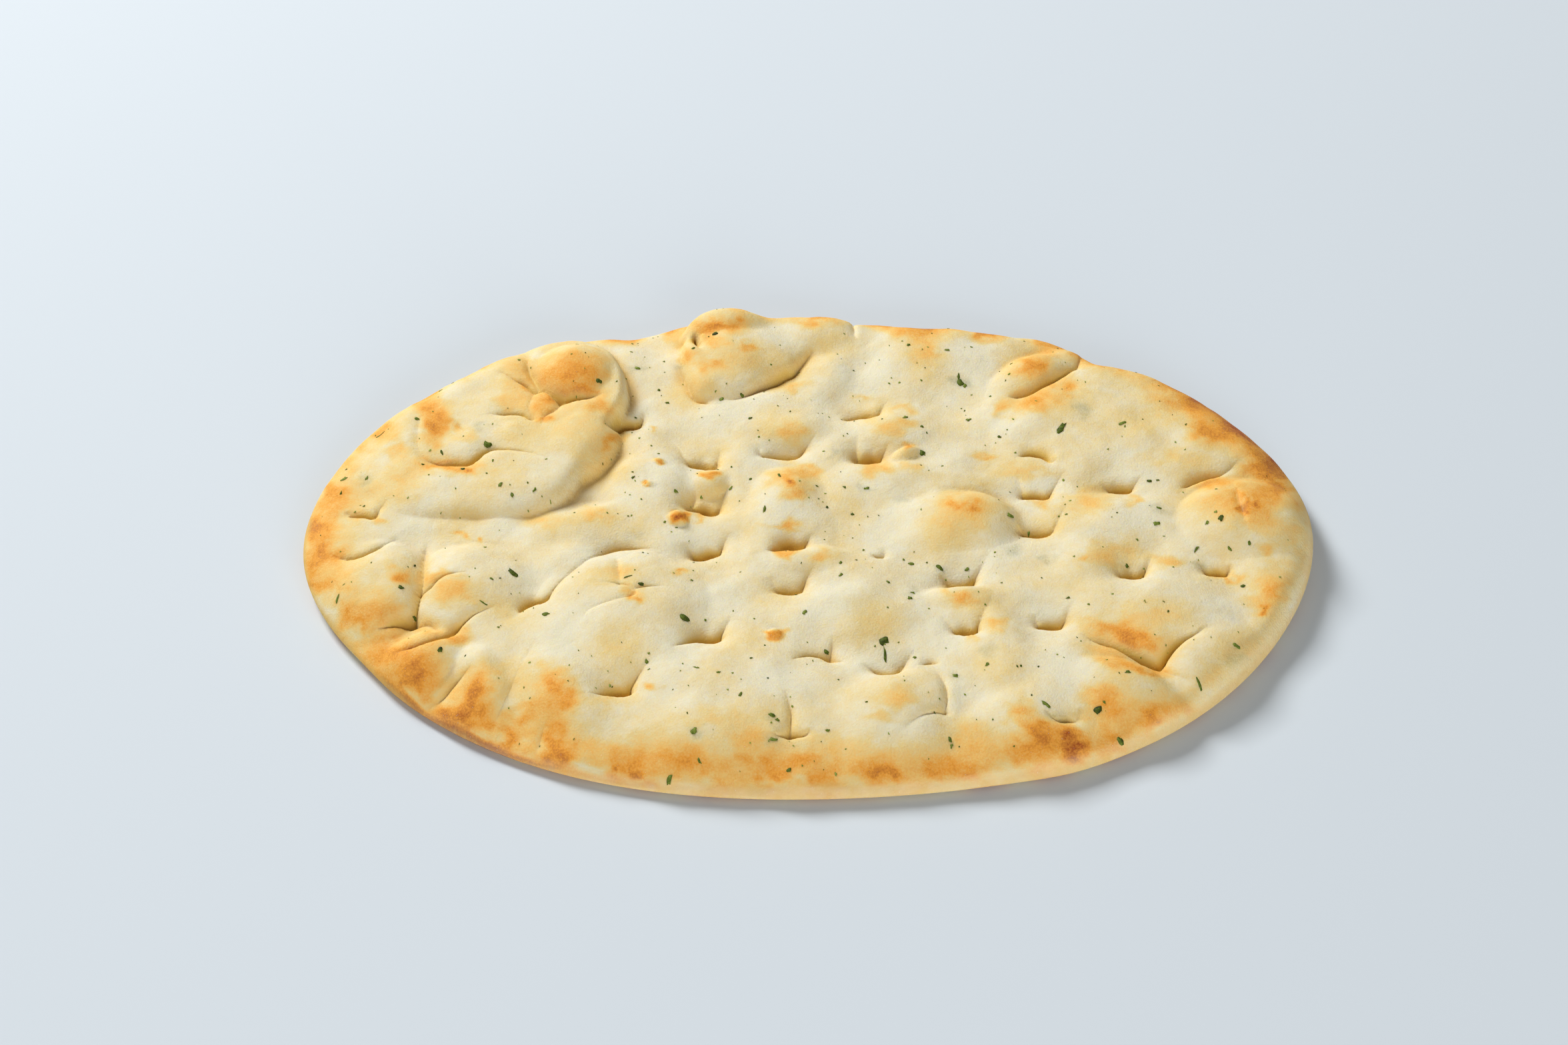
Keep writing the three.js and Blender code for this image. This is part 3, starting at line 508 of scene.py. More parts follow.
# Folds: the run, then the widths of the hollow and the lip and the share of the shoulder
FOLDS = (
    # crumples of the upper left swelling
    Fold(((-75.5, 59.5, 1), (-72.5, 57, 1.5), (-69.5, 55, 2.2), (-67.4, 53, 2.6), (-65, 53.2, 2),
          (-63, 51.4, 2.4), (-61.4, 49.6, 3), (-60, 48.8, 3), (-57, 49.2, 2.8), (-54, 49.9, 1.8),
          (-51, 51.2, 0.6)), 2.4, 0.7),
    Fold(((-69.6, 67.5, 0.8), (-69.4, 62, 1.8), (-68, 58, 2.2), (-66.4, 54.5, 2)), 1.8, 0.9),
    Fold(((-65.2, 40, 0.5), (-64.4, 42.6, 0.9), (-62.4, 44.8, 1), (-61.4, 47, 1.4),
          (-61, 49, 1.6)), 1.8, 0.7),
    Fold(((-67.6, 42, 1.2), (-68.6, 46, 0.7), (-68, 49.5, 0.6), (-67.6, 52.5, 1)), 1.8, 0.8),
    Fold(((-77.5, 43.2, 0.5), (-75, 43.5, 1.4), (-72.5, 43.7, 2), (-70, 43.4, 2.4),
          (-67.8, 42, 1.8)), 3, 0.6),
    Fold(((-94.5, 45, 0.3), (-95, 37, 1), (-94.4, 30, 1.2), (-92, 26, 1.2), (-88, 24.6, 2),
          (-85.6, 24.4, 3.2), (-82.4, 24.2, 3.6), (-80.8, 25.6, 3.2), (-78.8, 28.4, 2.8),
          (-76.6, 30, 2.4), (-73.4, 30.2, 1.6), (-68, 29, 1), (-63, 26.5, 0.3)), 4, 0.6),
    Fold(((-85.8, 40.2, 0.5), (-85, 38.5, 1), (-84, 37, 0.5)), 1, 1),
    Fold(((-48, 38.4, 2), (-45, 37.6, 4.4), (-41.8, 37.9, 4.4), (-40.5, 40.5, 2), (-40, 43.5, 0.4)), 2.8),
    # foot and tear of the blister on the back edge
    Fold(((-31.2, 62, 0.3), (-30.6, 57.3, 1), (-29.5, 53.3, 1.4), (-27.4, 48.5, 1.6),
          (-24.9, 47.7, 0.9)), 1),
    Fold(((-20.9, 48.5, 0.3), (-17.4, 49, 0.8), (-13.9, 50.9, 1.2), (-11.4, 52.8, 1.6), (-7.9, 55.2, 2.6),
          (-5.4, 57.3, 3), (-3.4, 57.9, 2.6), (-1.9, 61.3, 1.6), (0, 65, 0.9),
          (1.7, 68.6, 0.2)), 1.6, 0.4),
    Fold(((-27, 69.4, 0.8), (-27.9, 72.6, 4.6), (-28.5, 75.6, 0.6)), 1.1, 0.35),
    Fold(((11.6, 80, 1.4), (12, 77, 1.2), (12.4, 73, 0.3)), 1.2, 0.6),
    # crease of the upper right swelling, and its foot
    Fold(((49.5, 49.8, 0.3), (52.5, 50.3, 1.8), (55, 51, 2.6), (57.5, 53, 3), (60, 55.3, 3),
          (63, 58, 2.6), (65.5, 60.3, 2.2), (67.5, 62.5, 1.4), (68.8, 65.5, 0.3)), 2.2),
    Fold(((51, 27.2, 0.5), (53, 27.8, 2.8), (55.5, 27.6, 3.6), (57.5, 26.8, 3.2), (59, 25.6, 1.4),
          (60.5, 26.5, 0)), 2.4),
    # right end
    Fold(((89.5, 15.3, 0.5), (92.5, 17, 2.3), (95.5, 18.8, 2.4), (99, 20, 1.6), (101.5, 22, 0.9),
          (104, 25.5, 0.2)), 3.2),
    Fold(((102.8, 15, 0.4), (103, 12, 1.2), (103.2, 9, 1.6), (103.6, 6, 1.2), (104, 3, 0.3)), 0.8, 0.6),
    # seam along the right rim
    Fold(((84, -64.4, 0.2), (94, -54, 0.5), (101.9, -43.6, 0.9), (108, -33, 1.1), (112.5, -24.4, 1),
          (115, -19, 0.2)), 0.8, 0.4),
    # splits of the left end
    Fold(((-90.6, -32.6, 3), (-90.3, -26, 2.4), (-89.8, -18, 2), (-90, -10, 1.5), (-89.8, -6, 0.4)), 2.6),
    Fold(((-99, -34.2, 0.3), (-96.5, -32.9, 2.4), (-93.5, -32.4, 3.2), (-90.6, -32.6, 3)), 2.6),
    Fold(((-90.4, -32.7, 1.5), (-87, -33, 1.2), (-85.5, -34.5, 1), (-84, -35.3, 0.3)), 1.6),
    Fold(((-94.5, -42.6, 0.3), (-91, -40.6, 1.5), (-87.5, -38.8, 2.2), (-84, -37.5, 2.8), (-82, -36.4, 3),
          (-80.3, -33.8, 2.6), (-78, -30.5, 1.8), (-75.5, -28.3, 1), (-72.5, -26.5, 0.3))),
    Fold(((-90.2, -21.6, 1.2), (-88, -20, 1.4), (-86.5, -17.6, 1.5), (-84, -15.8, 1),
          (-80, -15, 0.3)), 1.6),
    Fold(((-112, -9, 0.3), (-109, -10, 1.5), (-106, -9.8, 2.8), (-103, -8, 2.4), (-100, -5.5, 1.2),
          (-97, -3.5, 0.2)), 2.4),
    Fold(((-110, 6.5, 0.3), (-108, 5, 2), (-105.5, 4.7, 3), (-103, 4.2, 2.6), (-102, 7.5, 1.2),
          (-100.5, 10.5, 0.3)), 2.2),
    # back edge and wrinkles of the blister left of the middle
    Fold(((-67, -29.5, 0.5), (-66, -27.8, 2.5), (-63.5, -26.2, 3.6), (-61, -24.8, 3), (-59.7, -21.8, 1.6),
          (-57.6, -17.6, 0.9), (-54, -13, 0.8), (-50.5, -9.6, 1), (-46, -7.4, 2), (-42.5, -6.8, 1.8),
          (-38.5, -6.6, 0.6), (-35, -7, 0.1)), 3),
    Fold(((-44.8, -10, 0.5), (-44.3, -14, 1), (-43.8, -18.5, 0.6)), 0.8, 0.8),
    Fold(((-47, -18.3, 0.3), (-43.7, -18.8, 0.8), (-40.8, -20.4, 0.8), (-40.4, -22.8, 0.8),
          (-44.5, -24.6, 0.7), (-50, -27.2, 0.5), (-52, -31, 0.2)), 1, 1),
    Fold(((-40, -20.2, 1), (-37, -19.6, 0.8), (-33.5, -19.8, 0.2)), 1.2),
    # V fold at the lower right
    Fold(((62.3, -35.8, 0.3), (65, -38, 1.5), (70, -40.7, 2.8), (75, -45, 4), (79.5, -47, 4.4),
          (81.5, -44, 4.2), (83.6, -40.4, 3.4), (86, -37.6, 2.2), (89, -35.5, 1.2),
          (91.3, -33.3, 0.3)), 4.5),
    Fold(((79.5, -47, 1.2), (82, -49, 1), (84.8, -51, 0.3)), 1.2),
    # right side of the front blister, and the groove left of it
    Fold(((29, -48.2, 0.4), (30.6, -52.5, 1.4), (31, -57, 1.6), (30.5, -61.7, 1.2)), 2, 0.8),
    Fold(((21.5, -66, 0.2), (25, -63, 0.9), (28, -61.8, 1.2), (30.4, -61.8, 1)), 1.4),
    Fold(((-8, -69, 0.3), (-6, -69.3, 2), (-3.5, -69.2, 2.4), (-1, -69, 1.5), (0, -67.5, 0.3)), 2),
    Fold(((-4.6, -69, 2.2), (-4.2, -62, 1.8), (-5.5, -55, 0.3)), 2.2, 0.8),
    # valleys between the ribs of the front left rim
    Fold(((-86, -61.5, 0.5), (-82.5, -57.5, 1.8), (-80, -52.5, 1.8), (-77.5, -48, 0.8),
          (-76, -44.5, 0)), 4, 1.2),
    Fold(((-70.5, -66, 0.3), (-68.5, -58, 1.2), (-66, -48, 0.5)), 4, 4, 0),
    Fold(((-61, -78, 0.3), (-60, -72, 1), (-59.2, -66, 0.5)), 2.2, 0.9),
    # docking holes, from the back row to the front
    Hole(((8, 40.3, 0.2), (11, 41, 2.5), (14, 41.8, 3.4), (17, 42.5, 2.5), (18.4, 45, 0.8),
          (20, 48.5, 0)), 3.6),
    Hole(((-31.5, 30, 0.2), (-29.5, 26, 1.3), (-27.6, 23.3, 3), (-25, 22.6, 3.7), (-22.4, 22.2, 3.3),
          (-21.8, 25, 1.5), (-21, 29.5, 0.1)), 3.4),
    Hole(((-11.8, 31, 0.1), (-11, 27.2, 1.6), (-8, 26.6, 2.6), (-4, 26.2, 2.9), (-2.3, 27, 2.2),
          (0, 31, 0.8), (2.5, 35, 0.1)), 3.4),
    Hole(((12.5, 36, 0.1), (12, 30, 1.3), (12.2, 26, 3), (13.5, 24.6, 4.5), (15.5, 25.2, 4.5),
          (17.2, 25.5, 3), (18.5, 28.5, 1.1), (20, 32, 0)), 3.9),
    Hole(((50.4, 19, 0.1), (51, 15.5, 1.2), (51.6, 12.4, 3), (53, 11.6, 4.1), (55, 11.6, 4.1),
          (57, 11.9, 3), (58.5, 14.5, 1.5), (60.5, 18.5, 0.7), (63, 22, 0.1)), 3.9),
    Hole(((70.6, 17.5, 0.2), (71.8, 14.8, 1.6), (73.5, 13.9, 3.6), (76.5, 13.7, 4), (78, 16, 1.5),
          (80, 18.8, 0.2)), 3.5),
    Hole(((-28.2, 19, 0.1), (-26.8, 14, 0.7), (-27.2, 10, 1.8), (-27.6, 7.2, 3.1), (-25.5, 6.8, 4.3),
          (-23.5, 5.8, 4.5), (-22, 5.9, 3.3), (-21, 8, 1.6), (-20, 12, 0.7), (-18, 15.5, 0.1)), 3.1),
    Hole(((-28.8, -5, 0.1), (-27, -9, 2.5), (-25.3, -10.6, 4.5), (-23, -9.5, 4.5), (-21, -8.6, 3),
          (-20, -5, 1.3), (-18.5, -1.5, 0.1)), 3.5),
    Hole(((-10, -8.2, 0.2), (-7, -7, 2.5), (-5, -6, 4.1), (-2, -6.6, 3.7), (-0.3, -4.6, 1.5),
          (1, -1.5, 0.1)), 3.5),
    Hole(((14.6, -8.6, 0.3), (16.4, -10, 1.8), (17.6, -9.6, 1.6), (17.8, -6.6, 0.1)), 2.1),
    Hole(((49.6, 1, 0.1), (51, -1.8, 2.2), (53.5, -2.2, 4), (56, -1.8, 3.6), (58, 0.2, 1.6), (60, 5, 0.7),
          (62, 9, 0.1)), 3.6),
    Hole(((-9, -17, 0.1), (-7.4, -21, 1.6), (-6, -22.4, 3.2), (-2.5, -22.3, 3.2), (-1.4, -20.5, 2),
          (0, -16, 0.7), (2, -12.5, 0.1)), 3.1),
    Hole(((30.5, -16.5, 0.2), (33, -19.8, 2.5), (35, -20.6, 4.5), (37.8, -19.8, 4.3), (39, -16.5, 2),
          (41, -12, 0.7), (43.5, -7.5, 0.1)), 3.9),
    Hole(((72, -12.5, 0.1), (72.8, -15.8, 1.8), (74.4, -16.8, 4.1), (77.4, -16.7, 3.9), (79, -13.5, 1.5),
          (80.5, -9.5, 0.1)), 3.4),
    Hole(((91, -11.5, 0.2), (93.4, -15.6, 2.8), (95.5, -16.2, 4.1), (97.4, -15.6, 2.8),
          (98.8, -12, 0.2)), 3.1),
    Hole(((-31.5, -41.8, 0.2), (-28, -39.6, 2.1), (-25, -38.8, 4.1), (-20.9, -38.5, 4.3), (-20, -36, 2.1),
          (-18, -31.5, 0.3)), 4.2),
    Hole(((30.6, -31, 0.2), (33.4, -35, 2.2), (35.2, -35.8, 4.1), (38.2, -35.5, 3.9), (39, -32.5, 1.8),
          (40.5, -28.5, 0.8), (42.5, -25, 0.1)), 3.5),
    Hole(((51.8, -30, 0.2), (52.8, -33.8, 2.5), (54.2, -34.8, 4.5), (57, -34.2, 3.9), (58.6, -32, 1.8),
          (60, -28, 0.7), (62, -25, 0.1)), 3.5),
    Hole(((-49.5, -56.5, 0.2), (-46, -56, 2.5), (-43.5, -56.3, 4.5), (-40.6, -56, 4.3),
          (-40.2, -53.5, 2.5), (-38.5, -49.5, 1.3), (-36, -45.5, 0.1)), 4.2),
    Hole(((-4.5, -45.4, 0.2), (-1.5, -43.6, 1.6), (2, -43.4, 2.4), (4.5, -44, 2),
          (8.5, -45.4, 0.2)), 3.9),
    Hole(((4.6, -44, 1.5), (5.2, -40, 0.9), (5.3, -36.5, 0.1)), 2, 0.9),
    Hole(((12, -46.6, 0.2), (15.4, -49.1, 2.2), (17.8, -49.7, 3.3), (19.6, -49.2, 2.9), (22, -45.5, 1.1),
          (24, -42, 0.1)), 3.4),
    Hole(((24.8, -46.3, 0.2), (27.5, -45.8, 1.6), (30, -46.1, 0.2)), 2.8),
    Hole(((52.6, -61.5, 0.2), (55.2, -64.4, 1.6), (57.5, -64.8, 2.4), (59.6, -64.4, 1.3),
          (60.4, -61.5, 0.1)), 2.8),
)

# Nudges of the outline outward by bearing in degrees from the right end
RIM_NUDGES = (
    (0, 0.6), (20, 0.6), (38, 0.6), (46, -0.2), (52, -2.3), (57, 1.6), (62, 3.7), (66, 1.6), (72, 0.2),
    (76, -0.6), (81, 1.2), (90, 2.8), (96, -0.2), (104, 3.2), (111, 0), (118, 1.4), (130, 0.8),
    (158, 0.6), (180, 0.2), (201, -0.6), (210, -0.8), (219, 0), (230, 0), (260, -0.2), (288, 0), (298, 1),
    (308, 0.4), (321, 0.2), (338, 0.6), (360, 0.6),
)

# The rim by bearing: the height of its edge, the share that rolls over, how far the crust falls
# there, and from what share
RIM_PROFILE = np.array((
    (0, 3.8, 0.062, 0.6, 0.26), (25, 3.6, 0.1, 1.6, 0.26), (186, 3.6, 0.11, 1.6, 0.26),
    (200, 2.8, 0.083, 3.8, 0.25), (210, 2.4, 0.052, 6.2, 0.23), (225, 1.8, 0.025, 8.4, 0.22),
    (280, 1.8, 0.028, 7.6, 0.22), (305, 1.8, 0.032, 6.6, 0.23), (325, 2, 0.04, 4.8, 0.25),
    (345, 2.7, 0.052, 2.2, 0.26), (360, 3.8, 0.062, 0.6, 0.26),
))

# Browned patches on the sight level: place, half sizes, turn, depth and sharpness of the edge
SCORCHES = Scorch.each(
    # upper left blister
    (-58, 60, 9.5, 9.5, 0, 0.56, 3), (-55, 38, 9, 10, 0, 0.24, 1.8), (-67, 47, 7, 8, 0, 0.24, 1.8),
    (-56, 51.5, 6, 2, 5, 0.6), (-62.5, 49, 2.2, 3, -30, 0.58), (-67, 55.5, 3, 3, 0, 0.5),
    (-65, 47, 3, 6, 0, 0.36), (-72, 61, 5, 6, 0, 0.36), (-72, 49, 4, 6, 0, 0.3),
    (-64, 40.5, 2, 2, 0, 0.5), (-51, 46, 4, 4, 0, 0.42), (-91, 38, 4.2, 9, 0, 0.7, 3),
    (-93, 46, 4, 4, 0, 0.45), (-87, 23, 7.5, 2.8, -8, 0.64), (-81.5, 22, 1.6, 2, 0, 0.55),
    (-85, 38, 1.2, 1.8, 0, 0.5), (-83, 34, 4, 3, 0, 0.3), (-99, 29, 2.5, 4, 0, 0.36),
    # The last patch of the next line browns the swelling's shaded right flank and darkens it as painted
    # shade
    (-103, 36, 5, 4, 30, 0.36), (-97, 17, 6, 9, 0, 0.3, 1.8), (-47.5, 32, 1.8, 5, -30, 0.5),
    # left end
    (-114, 5, 5, 13, -8, 0.48), (-113, -12, 5, 10, 6, 0.44), (-104, 3.5, 4, 1.5, 0, 0.46),
    (-63, 3, 4, 3, 0, 0.38, 1.8), (-50, 5, 5, 3, 0, 0.34, 1.8), (-77, -4, 1.4, 1.2, 0, 0.6),
    (-82, -3, 2, 1, -20, 0.5), (-95, -17, 2.5, 2, 0, 0.62), (-83, -22, 6, 5, 0, 0.5),
    (-87, -17, 5, 1.6, 25, 0.46), (-92, -34, 6, 3, 0, 0.56), (-83, -38, 6, 4, 10, 0.58),
    (-92, -48, 9, 8, -30, 0.56), (-98, -28, 4, 6, 0, 0.36),
    # ribs of the front left rim
    (-75, -55, 3.6, 9, -10, 0.64), (-80, -64, 6, 3, -20, 0.6), (-58, -53, 4.4, 6, 0, 0.66),
    (-54.5, -58, 3.4, 5, 0, 0.58), (-61, -61, 5, 4, 30, 0.46), (-65, -64, 4, 3, 0, 0.36),
    (-57, -71, 3, 7, 4, 0.6), (-67, -70, 4, 3, 0, 0.34, 1.8), (-45, -58, 5, 3, 0, 0.28, 1.8),
    (-42, -55, 2.4, 1.2, 0, 0.62),
    # small round spots of the middle
    (-36, 24.8, 2.4, 1.3, 0, 0.7, 4), (-38, 16.2, 1.3, 1.1, 0, 0.76, 4),
    (-23.5, 19.6, 2.6, 2.6, 0, 0.7, 4), (-31, 3.8, 2.3, 2.9, 0, 0.92, 4), (-37, 37, 1.1, 0.9, 0, 0.5),
    (-25, 4.4, 1.6, 1.4, 0, 0.42), (-4.5, 36, 5, 3.4, 0, 0.4), (-5, 19, 5.4, 5, 0, 0.46),
    (-4.2, 17.6, 2, 1.8, 0, 0.78), (-2.6, 13, 3, 3, 0, 0.5), (0.5, 21, 3, 2, 0, 0.4),
    (-5, 1, 4, 1.6, 0, 0.5), (20, 38, 4, 4, 0, 0.4), (25, 39, 3, 2, 0, 0.36),
    (24.2, 30.4, 3, 1.8, 18, 0.62), (16, 22, 3.4, 3.2, 0, 0.46), (24, 45, 3, 2, 0, 0.32),
    (26, 23, 3, 2, 0, 0.32), (38, 8, 9, 7.5, 0, 0.36, 3), (40, 7.5, 2.2, 1.8, 0, 0.44),
    (36, 9, 1.5, 2.2, 0, 0.4), (43, 26.5, 2, 1.6, 0, 0.42), (-30, -16, 1.6, 1, 20, 0.56),
    (-40.5, -25, 1.8, 1.6, 0, 0.66), (-41, -22, 3, 2, 0, 0.42), (-44, -15, 4, 3, 0, 0.32, 1.8),
    (-35, -54, 1.5, 1.2, 0, 0.5), (-7.5, -37, 2.3, 1.8, 0, 0.66, 4), (-5, -8.5, 2.4, 2.6, 0, 0.6, 4),
    (3, -9.5, 2.6, 2.2, 0, 0.38), (35, -24, 4.2, 3, 0, 0.5), (43, -33, 2.6, 2.2, 0, 0.4),
    (37, -38, 2, 1.6, 0, 0.32),
    # back edge
    (-22, 77.5, 7, 4, 12, 0.72), (-24, 71.5, 3, 3, 0, 0.5), (-30, 66.5, 2.6, 4, 0, 0.52),
    (-15, 69.5, 2, 2, 0, 0.5), (-24, 62.5, 3, 2.6, 0, 0.42), (-17, 63, 10, 7, 0, 0.2, 1.8),
    (-38, 77, 8, 2, 14, 0.5), (3, 80, 8, 2.4, 0, 0.5), (27, 76, 9, 4, -8, 0.5), (30, 68, 4, 6, 0, 0.4),
    (44, 73.5, 3, 3, 0, 0.5), (-5, 53.5, 5, 2, 10, 0.3), (14, 49, 2.4, 1.6, 0, 0.3),
    # upper right swelling
    (56.5, 62, 7, 5, 30, 0.64), (60, 55.5, 5, 2, 35, 0.5), (56, 48, 7, 4.4, 20, 0.54),
    (65, 53, 3.4, 3, 30, 0.56), (48, 45, 2.4, 3, 0, 0.44), (72, 66, 6, 2, -10, 0.5),
    (78, 63.5, 6, 2, -25, 0.45), (70, 48, 14, 10, 0, 0.16, 1.8), (92, 47, 8, 6, -30, 0.5),
    (101, 37, 9, 7, -35, 0.62), (105, 36.5, 5, 1.6, -42, 0.94), (97, 35, 4, 4, 0, 0.52),
    (111, 25, 6, 9, -20, 0.66), (87, 26, 8, 4, 0, 0.24, 1.8),
    # right end
    (101.5, 10, 8.5, 8.6, 0, 0.46, 3), (107.5, 8.4, 2.4, 2.6, 0, 0.76), (103.3, 9, 0.9, 5, 0, 0.7),
    (110, 13, 5, 5, 0, 0.5), (108, 3, 4, 5, 0, 0.4), (98, 17, 8, 2.4, 10, 0.5), (67, 10, 6, 4, 0, 0.36),
    (56, 10, 3, 2, 0, 0.4), (78, 10, 2, 1.6, 0, 0.4), (52, 21, 7, 3, 0, 0.3),
    (70, -9, 6, 5, 0, 0.36, 1.8), (64, -11, 2.4, 2, 0, 0.42), (84, -11.5, 3.4, 2.4, 0, 0.38),
    (97, -17.5, 4, 1.4, 0, 0.5), (108, -8, 2, 2, 0, 0.5), (107, -22, 4, 8, -20, 0.5),
    (105, -29, 2, 1.6, 0, 0.7),
    # lower right
    (70, -35, 8, 3.4, -20, 0.5), (76, -37.5, 9, 5.5, -20, 0.38, 1.8), (67.7, -42, 6, 4, -25, 0.36),
    (76, -40, 8, 3, -28, 0.48), (80, -30, 9, 5, 0, 0.26, 1.8), (76, -49, 5.4, 2.4, -8, 0.66),
    (70, -46.5, 5, 2, -25, 0.4), (58.3, -73, 4.3, 6.6, 0, 0.9, 4), (52, -70, 6, 6, -8, 0.5),
    (50.9, -67.3, 2.6, 3, 0, 0.5), (47, -62, 3, 4, 0, 0.56), (45, -75, 8, 4, 8, 0.44),
    (66, -58, 5, 5, 0, 0.5), (66, -68, 5, 6, 0, 0.34), (75.9, -65.5, 2.6, 5, 0, 0.56),
    (74, -62, 10, 8, 0, 0.3, 1.8), (84, -62, 5, 4, 20, 0.36), (68, -75, 2.6, 2, 0, 0.4),
    # front rim
    (-8, -83, 4, 1.6, 0, 0.4), (17, -82, 5, 3, 0, 0.34), (28, -80, 5, 4, 0, 0.36),
    (-38, -82.4, 2.4, 1.8, 0, 0.7), (-42.5, -80.4, 1.2, 1, 0, 0.7), (-2, -78, 3, 3, 0, 0.46),
    (-15, -78, 3, 2, 0, 0.4), (-14, -71, 5, 6, 0, 0.36, 1.8), (-22, -64, 7, 4, 0, 0.26, 1.8),
    (2, -74, 12, 5, 0, 0.3, 1.8), (20, -58, 5, 4, 0, 0.36), (16, -64, 4, 2, 0, 0.3),
    (35, -72, 5, 8, 0, 0.34, 1.8), (10, -80, 30, 4, 0, 0.26, 1.8), (-35, -76, 14, 5, -8, 0.26, 1.8),
)

# Browning of the rolled rim by bearing in degrees from the right end
RIM_BROWNING = (
    (0, 0.2), (12, 0.56), (22, 0.88), (36, 0.92), (44, 0.66), (60, 0.62), (75, 0.62), (95, 0.6),
    (110, 0.54), (125, 0.36), (150, 0.26), (165, 0.34), (180, 0.38), (200, 0.34), (215, 0.4), (235, 0.42),
    (255, 0.38), (270, 0.38), (290, 0.24), (305, 0.2), (320, 0.1), (340, 0.06), (350, 0.12), (360, 0.2),
)

# Flour on the lowest band of the rim, which also paints bounced light where the band lies in shade on
# the front and right, and the singed underside that shows below it, by bearing
RIM_FLOUR_AND_BOUNCE = (
    (0, 0.4), (12, 0), (216, 0), (236, 0.2), (254, 0.5), (280, 0.5), (300, 0.35), (330, 0.35), (350, 0.4),
    (360, 0.4),
)
RIM_SINGE = ((0, 0), (206, 0), (214, 0.7), (222, 1), (236, 1), (246, 0.6), (258, 0), (360, 0))

# Herb that shows through the flour, as browned patches are given
STAINS = Scorch.each(
    (12, -25, 9, 7, 0, 0.16, 1.8), (67.5, 44, 2, 3, 20, 0.5), (38.5, 55, 2.6, 2.6, 0, 0.6),
    (-80, 38.5, 2.6, 2.4, 0, 0.5), (-78, 31, 2.4, 2, 0, 0.4), (97.6, -45, 2.6, 2, -20, 0.55),
    (48, -8, 1.8, 1.6, 0, 0.4), (56, -11, 1.4, 1, 0, 0.4), (-7.6, -71, 2.6, 1.6, 0, 0.5),
    (-25.2, -68.5, 1.6, 2, 0, 0.5), (-8.5, -64.5, 1.6, 2.4, 20, 0.5), (54.8, -63.4, 2.4, 1.8, -35, 0.6),
    (41, -42.6, 1.6, 2, 0, 0.35), (13.6, 14.8, 2, 1.2, 0, 0.4), (5.8, 26.6, 1.2, 2.4, -40, 0.4),
    (22, 10, 1.8, 1.4, 0, 0.3), (-42, 60.4, 2.2, 1.4, 30, 0.4), (-32, 61.4, 2, 0.8, 20, 0.4),
    (-21, 48.6, 1.4, 1, 0, 0.4), (-40.6, -2, 1.6, 1.6, 0, 0.3), (-106.4, 17.6, 1.6, 2.4, 0, 0.4),
    (86, 6.6, 1.6, 1.6, 0, 0.3), (83.4, 7.2, 1.4, 1.4, 0, 0.4), (91, -13, 1.2, 1.6, 0, 0.45),
    (23.8, -23.2, 0.9, 2.6, 10, 0.5), (29.8, -14.2, 1.8, 1.4, -40, 0.5), (32.5, -50.4, 2, 1, 0, 0.4),
    (31, -72.4, 0.9, 2, 0, 0.5), (-104.8, -24, 0.8, 2.4, 0, 0.3),
)

